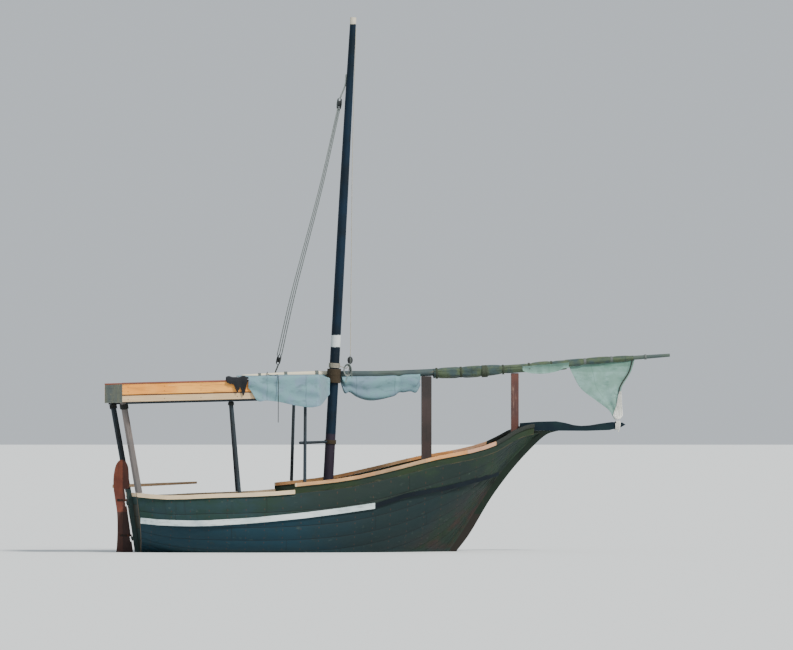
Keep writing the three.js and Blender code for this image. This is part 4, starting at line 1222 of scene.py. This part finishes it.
# %% Sail rolled on the yard above the tack
gathered("sail_head_roll", [
    (4.30, 0.004, 0.062, 0.060), (4.7, 0.004, 0.056, 0.054), (5.05, 0.004, 0.052, 0.050),
    (5.40, 0.002, 0.043, 0.042)], 1.2, 1.2, 5, 0.005, ROLLED, seed=21, ties=[4.62, 5.05, 5.36],
    columns=50, around=56)

# %% [markdown]
# The halyard is a tackle: three parts of rope run between a block under the masthead and one
# at the roof's port side. Each block is a wooden shell of two cheeks round a sheave, with a
# rope strop, so it is modelled from those parts and not as a lump.

# %% Blocks
BLOCK_WOOD = timber("dark_block_wood", "232a2c", "191e20", "4c4338", along="Z", worn=0.3)


def disc(radius, half, sides=24, bulge=1.0):
    """A disc on the Y axis, stretched along Z by bulge, with its rim rounded off."""
    rings = []
    for y, share in ((-half, 0.0), (-half, 0.86), (-0.6 * half, 1.0), (0.6 * half, 1.0), (half, 0.86), (half, 0.0)):
        ring = [Vector((radius * share * math.cos(a), y, radius * bulge * share * math.sin(a)))
                for a in np.linspace(0, 2 * math.pi, sides, endpoint=False)]
        rings.append(ring)
    return tube(rings, closed=False)


def placed(parts, matrix):
    """Parts as one, moved by a matrix."""
    points, faces, uvs = joined(parts)
    return [matrix @ Vector(p) for p in points], faces, uvs


def moved(part, offset):
    """A part moved by an offset."""
    points, faces, uvs = part
    return [Vector(p) + Vector(offset) for p in points], faces, uvs


def tackle_block(name, place, way, size, body="boat", turn=0.0):
    """A block of two cheeks and a sheave, its long way along a direction."""
    matrix = (Matrix.Translation(place) @ Vector(way).to_track_quat("Z", "Y").to_matrix().to_4x4()
              @ Matrix.Rotation(turn, 4, "Z"))
    cheeks = [moved(disc(0.34 * size, 0.045 * size, bulge=1.45), (0, side * 0.15 * size, 0)) for side in (-1, 1)]
    sheave = disc(0.27 * size, 0.07 * size, 20)
    make(name, *placed([*cheeks, sheave], matrix)[:2], BLOCK_WOOD, body=body)
    loop = [(0.0, 0.22 * size * math.sin(a), 0.56 * size * math.cos(a)) for a in np.linspace(0, 2 * math.pi, 13)]
    points, faces, uvs = rope(loop, 0.045 * size, 7)
    make(name + "_strop", [matrix @ Vector(p) for p in points], faces, GREY_ROPE, body=body, uvs=uvs)


lead = [(mast_x(7.62) - 0.066, 0, 7.62), (0.735, 0.012, 7.45), (0.655, 0.032, 7.24)]
parts = [rope(lead, 0.013, 8)]
for dx, dy, low in ((-0.022, -0.010, 3.14), (0.004, 0.014, 3.14), (0.026, -0.004, 3.14)):
    run = [(0.640 + dx * 0.8, 0.045 + dy, 7.10), (0.380 + dx, 0.330 + dy, 5.80),
           (0.010 + 1.3 * dx, 0.760 + dy, 4.18), (-0.190 + 1.5 * dx, 1.040 + dy, low)]
    parts.append(rope(run, 0.0085, 7, spacing=0.03))
parts.append(rope([(-0.20, 1.048, 2.99), (-0.236, 1.112, 2.88), (-0.262, 1.158, 2.775)], 0.013, 8))
points, faces, uvs = joined(parts)
halyard = make("halyard_parts", points, faces, GREY_ROPE, uvs=uvs)
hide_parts("halyard")
tackle_block("masthead_block", (0.642, 0.040, 7.15), (0.10, -0.06, 1.0), 0.17, turn=0.6)
tackle_block("lower_block", (-0.195, 1.045, 3.07), (0.19, -0.27, 1.0), 0.15, turn=0.6)
print("halyard:", len(halyard.data.polygons), "faces")

# %% [markdown]
# A thin line comes down before the mast from its head to a small block, and is made fast to
# the rope band behind it. It is rope through points, as the halyard is.

# %% Line before the mast
points, faces, uvs = joined([
    rope([(mast_x(8.35) + 0.052, 0, 8.35), (0.850, -0.020, 6.50), (0.830, -0.024, 4.8), (0.812, -0.030, 3.12)],
         0.006, 7, spacing=0.04),
    rope([(0.806, -0.030, 3.0), (0.75, -0.03, 2.93), (0.68, -0.022, 2.95),
          (mast_x(2.96) + 0.082, -0.012, 2.96)], 0.007),
    rope([(0.80, -0.036, 3.0), (0.786, -0.05, 2.90), (0.76, -0.045, 2.80), (0.735, -0.03, 2.70)], 0.006)])
line = make("fore_line_rope", points, faces, PALE_ROPE, uvs=uvs)
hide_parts("fore_line")
tackle_block("fore_line_block", (0.808, -0.030, 3.055), (0, 0, 1), 0.115, turn=0.3)
print("fore line:", len(line.data.polygons), "faces")

# %% [markdown]
# The roof's side boards are varnished softwood: a pale lower plank, a dark groove, and a wide
# upper plank that glows orange in the sun. The boards slope with the roof, so the height that
# picks the colour is measured from the sloping roof line. Noise stretched along the boards
# gives both the long grain of the pale plank and the darker rings of the orange one.

# %% Roof boards
def varnished_boards():
    """Two planks one above the other, with a groove between them and painted shadow along their foot."""
    made = timber("varnished_roof_board", "fdb04c", "f29c38", "fdd38c", worn=0.3, rough=0.42, dark="8a5526")
    tree, shader, orange = paint_so_far(made)
    line = step(tree, "add", ROOF_Z - ROOF_RISE * ROOF_AFT,
                step(tree, "multiply", coordinate(tree, "X"), ROOF_RISE))
    height = step(tree, "subtract", coordinate(tree, "Z"), line)
    grain = pattern(tree, (0.05, 1, 1), 45, 4, 0.6, seed=31)
    pale = step(tree, "mixed", grain, linear("e2c7a0"), linear("b8976a"))
    ringed = step(tree, "multiply", step(tree, "between", grain, 0.52, 0.66), 0.5)
    rings = step(tree, "mixed", ringed, orange, linear("b0702f"))
    colour = step(tree, "mixed", step(tree, "between", height, 0.112, 0.118), pale, rings)
    groove = step(tree, "multiply", step(tree, "between", height, 0.102, 0.108),
                  step(tree, "between", height, 0.130, 0.124))
    colour = step(tree, "mixed", groove, colour, linear("6b431f"))
    # painted shadow: the boards turn near black along their foot, where shade falls under them
    colour = step(tree, "mixed", step(tree, "between", height, 0.016, 0.008), colour, linear("17191a"))
    fill(tree, shader, {"Base Color": colour})
    return made


ROOF_BOARD = varnished_boards()
for name in both("roof_side_board"):
    dress(name, ROOF_BOARD, 0.004)


def board_lines(material, axis, width, offset=0.0):
    """Marks a wide surface into boards: each has its own tone and a dark joint beside it."""
    tree, shader, colour = paint_so_far(material)
    count = step(tree, "multiply", step(tree, "add", coordinate(tree, axis), offset), 1 / width)
    tone = step(tree, "ShaderNodeTexWhiteNoise", {"W": step(tree, "floor", count)}, noise_dimensions="1D")
    colour = step(tree, "mixed", step(tree, "multiply", tone, 0.4), colour, linear("4d3a28"))
    share = step(tree, "absolute", step(tree, "subtract", step(tree, "fract", count), 0.5))
    joint = step(tree, "between", share, 0.5 - 0.006 / width, 0.5 - 0.002 / width)
    colour = step(tree, "mixed", step(tree, "multiply", joint, 0.85), colour, linear("17120d"))
    fill(tree, shader, {"Base Color": colour})


board_lines(SOLE, "Y", 0.16, 0.08)
board_lines(DECK, "Y", 0.14, 0.07)
board_lines(ROOF_DECK, "Y", 0.15)
board_lines(TRANSOM, "Z", 0.19)
add_bands(CAP, "X", [(-2.8, -0.2, "e9dcbc", 0.6), (1.05, 1.9, "8d775f", 0.55), (1.96, 2.6, "cf8a4c", 0.6),
                     (2.6, 3.1, "c89a80", 0.6), (3.1, 4.2, "161e17", 1.0)])
add_bands(STEM, "Z", [(-0.7, 0.62, "2e2725", 0.7)])
add_bands(RUDDER_RED, "Z", [(-0.7, 0.66, "2a2221", 0.75)])
# painted shade: the fore part of the rudder board, beside the sternpost, is darkened
add_bands(RUDDER_RED, "X", [(-2.835, -2.4, "2b1c1b", 0.7)])
print("boards marked on sole, foredeck, roof and transom")

# %% [markdown]
# Low on its luff the sail's corner is bunched in pleats and bound with white line down to the
# beak. A pleated strip is a sheet whose rows zigzag, and it is widest just above the beak.
# Farther aft a slack fold of the sail hangs below the yard.

# %% Bunched corner and slack fold
# height, where its middle is along the boat, and half its width
BUNCH = [(2.56, 5.190, 0.014), (2.50, 5.182, 0.030), (2.32, 5.168, 0.048), (2.22, 5.155, 0.072),
         (2.17, 5.148, 0.078), (2.13, 5.142, 0.050), (2.108, 5.136, 0.026)]
rows, uv_rows = [], []
for z in np.linspace(BUNCH[0][0], BUNCH[-1][0], 34):
    x, wide = (float(np.interp(-z, [-row[0] for row in BUNCH], [row[k] for row in BUNCH])) for k in (1, 2))
    shares = np.linspace(0, 1, 49)
    row = [Vector((x + wide * (2 * u - 1), -0.010 + 0.014 * math.sin(u * 31 + 3 * z), z)) for u in shares]
    rows.append(row)
    uv_rows.append([(u * 0.5, z) for u in shares])
bunch = grid_sheet("sail_bunched_corner", rows, WHITE_CLOTH, "rig", uv_rows)
SLACK_AFT, SLACK_FORE = 3.60, 4.35
rows, uv_rows = [], []
for x in np.linspace(SLACK_AFT, SLACK_FORE, 60):
    y, z, _ = yard_at(x)
    share = (x - SLACK_AFT) / (SLACK_FORE - SLACK_AFT)
    low = 2.895 - 0.070 * math.sin(math.pi * min(share * 1.15, 1)) ** 0.6 + 0.04 * share
    wave = 0.008 * math.sin(17 * x) + 0.005 * math.sin(41 * x + 1)
    row = [Vector((x, y - 0.094 + wave * t + 0.018 * math.sin(math.pi * t), (z + 0.01) * (1 - t) + low * t))
           for t in np.linspace(0, 1, 14)]
    rows.append(row)
    uv_rows.append([(x, t * 0.17) for t in np.linspace(0, 1, 14)])
slack = grid_sheet("sail_slack_fold", rows, DAMP_CANVAS, "rig", uv_rows)
print("slack fold's flat size", [round(v, 2) for v in measured(rows)])

# %% [markdown]
# White line is passed round the beak's end many times, close to square because the timber is.
# One path does it: the corners of each turn, a rope's thickness farther along each time.

# %% Lashing on the beak
turns = []
for k in range(4):
    x = 5.105 + 0.018 * k
    turns += [(x, -0.056, 2.052), (x + 0.002, -0.056, 1.975), (x + 0.005, -0.038, 1.950 + 0.003 * k),
              (x + 0.007, 0.038, 1.950 + 0.003 * k), (x + 0.009, 0.056, 1.975), (x + 0.011, 0.056, 2.052),
              (x + 0.013, 0.03, 2.081), (x + 0.015, -0.03, 2.081)]
turns += [(5.176, -0.058, 2.03), (5.16, -0.063, 1.97), (5.145, -0.062, 1.91)]
points, faces, uvs = rope(turns, 0.0095, 8)
make("beak_lashing", points, faces, WHITE_ROPE, uvs=uvs)
print("beak lashing:", len(faces), "faces")

# %% [markdown]
# A dark cloth is thrown over the roof's starboard rail, crumpled on top, with two corners that
# hang down outside. It is a sheet whose path crosses the rail at each place along the boat.
# Its crumples only push outwards, so it never enters the rail.

# %% Cloth on the rail
NAVY_CLOTH = canvas("navy_cotton_cloth", "0b1019", "080b12", "040508", through=0.02)
RAIL_TOP = -1.18  # where the cloth turns from inside the rail to outside
RAIL_CLOTH = [(-1.345, 0.045), (-1.290, 0.070), (-1.225, 0.095), (-1.195, 0.170), (-1.172, 0.205), (-1.148, 0.165),
              (-1.118, 0.130), (-1.095, 0.215), (-1.070, 0.262), (-1.048, 0.205), (-1.030, 0.090),
              (-1.012, 0.055)]  # places along the boat and how far the cloth hangs there
dice = random.Random(29)
waves = [(dice.uniform(14, 52), dice.uniform(-38, 38), dice.uniform(0, 6.28), dice.uniform(0.4, 1))
         for _ in range(7)]
rows, uv_rows = [], []
for x in np.linspace(RAIL_CLOTH[0][0], RAIL_CLOTH[-1][0], 72):
    top = roof_z(x) + TRIM_TOP + CLEAR
    drop = eased(x, *np.array(RAIL_CLOTH).T)
    path, reach = curve_through([(x, -1.080, top - 0.17), (x, -1.118, top - 0.06), (x, -1.143, top + 0.012),
                                 (x, RAIL_TOP, top + 0.022), (x, -1.218, top + 0.008),
                                 (x, -1.226, top - 0.4 * drop), (x, -1.224, top - drop)], 0.004)
    picks = np.linspace(0, len(path) - 1, 80).astype(int)
    row, uv_row = [], []
    for p, s in zip(path[picks], reach[picks]):
        wave = 0.5 + sum(w * math.sin(a * x + b * s + phase) for a, b, phase, w in waves) / 7
        on_top = smoothly(p[2], top - 0.03, top + 0.02)
        out = 0.024 * wave * (1 - on_top) * (-1 if p[1] < RAIL_TOP else 1)
        row.append(Vector((x + 0.012 * wave, p[1] + out, p[2] + 0.042 * wave * on_top)))
        uv_row.append((x, s))
    rows.append(row)
    uv_rows.append(uv_row)
cloth = grid_sheet("rail_cloth", rows, NAVY_CLOTH, "boat", uv_rows)
print("rail cloth flat size", [round(v, 2) for v in measured(rows)])

# %% [markdown]
# The forward sail line's fall is coiled and hung below its block, and a brail hangs from the
# yard over the swag. Both are free rope, so each is one plain tube along its path.

# %% Loose rope at the mast
coil = [(0.790, -0.050, 3.045), (0.799, -0.055, 2.985)]
for turn in np.linspace(0, 6, 85):
    a = math.pi / 2 + 2 * math.pi * turn
    coil.append((0.755 + (0.043 + 0.0038 * turn) * math.sin(a), -0.060 - 0.0105 * turn,
                 2.895 + (0.074 + 0.0045 * turn) * math.cos(a)))
coil += [(0.822, -0.124, 2.84), (0.822, -0.125, 2.77)]
path, reach = curve_through(coil, 0.008)
points, faces, uvs = tube(rings_along(path, 7, lambda i, angle: 0.005), reach)
fall = make("fore_line_coil", points, faces, GREY_ROPE, uvs=uvs)
brail = [(-0.50, yard_at(-0.5)[0] - 0.02, 2.866), (-0.51, 0.02, 2.828), (-0.515, -0.6, 2.806),
         (-0.518, -1.12, 2.814), (-0.518, -1.225, 2.806), (-0.518, -1.272, 2.74), (-0.518, -1.280, 2.40),
         (-0.520, -1.278, 2.06)]
path, reach = curve_through(brail, 0.01)
points, faces, uvs = tube(rings_along(path, 7, lambda i, angle: 0.006), reach)
line = make("brail_line", points, faces, DARK_ROPE, body="rig", uvs=uvs)
print("coil and brail:", len(fall.data.polygons), len(line.data.polygons), "faces")

# %% [markdown]
# A dark pole is lashed from the fore starboard roof post to the mast, and steadies the roof.
# The posts' heads are lashed to the roof's stringers in the same way.

# %% Steadying pole and post lashings
pole_rows = [(-0.160, -1.220, 1.738, 0.024), (0.10, -0.70, 1.744, 0.023), (0.418, -0.075, 1.752, 0.021)]
points, faces, uvs = spar(pole_rows, 14, 0.05, 0.03, seed=17)
make("steadying_pole", points, faces, POST_DARK, uvs=uvs)
POST_LINES = {  # head and foot of each roof post, and its half width
    "aft_starboard": ((-2.955, -0.960), (-2.655, -0.690), 0.058),
    "aft_port": ((-2.900, 0.960), (-2.655, 0.690), 0.050),
    "mid_starboard": ((-1.250, -1.075), (-1.110, -1.100), 0.032),
    "mid_port": ((-0.980, 1.075), (-0.850, 1.130), 0.032),
    "fore_starboard": ((-0.060, -1.085), (-0.084, -1.190), 0.028),
    "fore_port": ((0.060, 1.085), (0.030, 1.190), 0.028)}
heads = []
for (head_x, head_y), (foot_x, foot_y), half in POST_LINES.values():
    top = Vector((head_x, head_y, roof_z(head_x) + 0.06))
    way = (top - Vector((foot_x, foot_y, station(share_at(foot_x))[1]))).normalized()
    heads.append((top - way * 0.12, way, (half * 0.93 + 0.008) / LASH_RADIUS))
grow("post_head_lashings", guide_points(heads), lash, finish=DARK_ROPE, Turns=5, Wide=0.075, Rope_Radius=0.0075)
grow("pole_lashing", guide_points([on_mast(1.752)]), lash, finish=BROWN_ROPE,
     Turns=5, Wide=0.06, Spar_Radius=0.0895, Rope_Radius=0.007)

# %% [markdown]
# A dark batten closes the foot of each side board, where a black line of shade runs under them, and its near-black
# finish is painted shadow.
# It is a plain box that slopes with the roof, so its eight corners are written down and joined.

# %% Battens under the side boards
BATTEN_ENDS, BATTEN_SIDES, BATTEN_HEIGHTS = (-2.93, 0.06), (1.158, 1.190), (-0.024, -0.001)
BOX_FACES = [[0, 1, 3, 2], [4, 6, 7, 5], [0, 4, 5, 1], [2, 3, 7, 6], [0, 2, 6, 4], [1, 5, 7, 3]]


def box(corners):
    """A box from its corners: both x, at each both y, and at each of those both z."""
    return corners, BOX_FACES, [(0, 0)] * 24


battens = []
for side in (1, -1):
    across_it = sorted(side * y for y in BATTEN_SIDES)
    battens.append(box([(x, y, roof_z(x) + z) for x in BATTEN_ENDS for y in across_it for z in BATTEN_HEIGHTS]))
# the battens take the wale's near-black finish as painted shadow under the side boards
make("roof_foot_battens", *joined(battens)[:2], WALE_TAR_AND_BATTEN_SHADOW, smooth=False)
print("battens:", len(battens))

# %% [markdown]
# Iron shows in three places: the rudder's pins with their straps and bolts, round-headed nails
# all along the caps, and bolts through the roof boards. One tree puts a low dome on every
# guide point, turned to its direction, so all heads of a kind are one mesh.

# %% Iron
IRON, tree, shader = new_material("rusty_iron")
patches = step(tree, "between", pattern(tree, (1, 1, 1), 60, 5, 0.6, seed=14), 0.4, 0.6)
stains = step(tree, "between", pattern(tree, (1, 1, 1), 18, 5, 0.65, seed=19), 0.45, 0.62)
colour = step(tree, "mixed", patches, linear("33302d"), linear("25211f"))
colour = step(tree, "mixed", step(tree, "multiply", stains, 0.7), colour, linear("6b3c26"))
bump = step(tree, "ShaderNodeBump", {"Height": patches, "Strength": 0.5, "Distance": 0.001})
fill(tree, shader, {"Base Color": colour, "Normal": bump, "Metallic": 0.6, "Roughness": 0.65})

studs, ends, shape_end = plan("studs", {"Radius": 0.007, "Flatness": 0.5})
dome = step(studs, "GeometryNodeMeshUVSphere", {"Segments": 8, "Rings": 4, "Radius": ends["Radius"]})
low = step(studs, "ShaderNodeCombineXYZ", {0: 1.0, 1: 1.0, 2: ends["Flatness"]})
flat = step(studs, "GeometryNodeTransform", {0: dome, "Scale": low})
on_guides(studs, ends["Guides"], flat, IRON, shape_end)

CAP_AFT, CAP_FORE, NAIL_PITCH, RAISED_FROM = -2.62, 3.60, 0.155, -0.24
LOW_CAP = (0.0565, (-0.056, 0.004))  # a cap's top above the sheer, and its two rows of nails
RAISED_CAP = (0.161, (-0.018, 0.030))
nails = []
for x in np.arange(CAP_AFT, CAP_FORE, NAIL_PITCH):
    p = hull_point(station(share_at(x)), 1.0)
    ahead = hull_point(station(share_at(x + 0.05)), 1.0) - p
    out = Vector((-ahead.y, ahead.x, 0)).normalized()
    up = Vector((-ahead.z, 0, ahead.x)).normalized()
    lift, insets = RAISED_CAP if x > RAISED_FROM else LOW_CAP
    for k, inset in enumerate(insets):
        for side in (1, -1):
            spot = p + out * inset + Vector((0, 0, lift)) + ahead * (0.4 * k)
            nails.append((Vector((spot.x, side * spot.y, spot.z)), (up.x, 0, up.z), 0.8))
grow("cap_nails", guide_points(nails), studs)
BOLT_SIZE, BOLT_OUT = 0.85, 0.0005
bolts = [(Vector((x, side * (ROOF_HALF + BOLT_OUT), roof_z(x) + z)), (0, side, 0), BOLT_SIZE)
         for x in (-2.90, -2.32, -1.74, -1.16, -0.58, 0.01) for z in (0.05, 0.17, 0.245) for side in (1, -1)]
bolts += [(Vector((ROOF_AFT - BOLT_OUT, y, roof_z(ROOF_AFT) + z)), (-1, 0, 0), BOLT_SIZE)
          for y in np.linspace(-1.1, 1.1, 9) for z in (0.06, 0.23)]
grow("roof_bolts", guide_points(bolts), studs)

STRAP_REACH = (0.30, 0.195, 0.158)  # how far aft the strap at each lug goes
STRAP_FOOT, STRAP_WIDE, STRAP_START = 0.050, 0.034, 0.030
STRAP_SIDES = (0.0242, 0.0300)
straps, heads_on = [], []
for lug, reach in zip(LUGS, STRAP_REACH):
    z = lug + STRAP_FOOT
    pin_x, _ = off_pins(z, 0)
    for side in (1, -1):
        across_it = sorted(side * y for y in STRAP_SIDES)
        straps.append(box([(x + PIN_RAKE * (up - z), y, up) for x in (pin_x - reach, pin_x - STRAP_START)
                           for y in across_it for up in (z, z + STRAP_WIDE)]))
        heads_on += [(Vector((pin_x - away, side * STRAP_SIDES[1], z + STRAP_WIDE / 2)), (0, side, 0), 1.0)
                     for away in np.linspace(0.055, reach - 0.03, 3)]
iron_straps = make("rudder_straps", *joined(straps)[:2], IRON, body="rudder", smooth=False)
round_edges(iron_straps, 0.0015)
grow("rudder_bolts", guide_points(heads_on), studs, body="rudder")

PIN_RADIUS, PIN_SPAN = 0.0095, (-0.020, 0.050)  # a pin's ends, from its lug
PIN_PLATE, PLATE_HALF = ((0.048, 0), (0.084, 0), (0.084, 0.041), (0.048, 0.041)), 0.017
pintles = []
for lug in LUGS:
    plate = slab([off_pins(lug + z, aft) for z, aft in PIN_PLATE], PLATE_HALF)
    pintles.append((*plate, [(0, 0)] * 24))
    pin = [(x, 0, z) for x, z in (off_pins(lug + z, 0) for z in PIN_SPAN)]
    pintles.append(tube(rings_along(np.array(pin), 14, lambda i, angle: PIN_RADIUS)))
make("rudder_pintles", *joined(pintles)[:2], IRON, body="rudder", smooth=False)
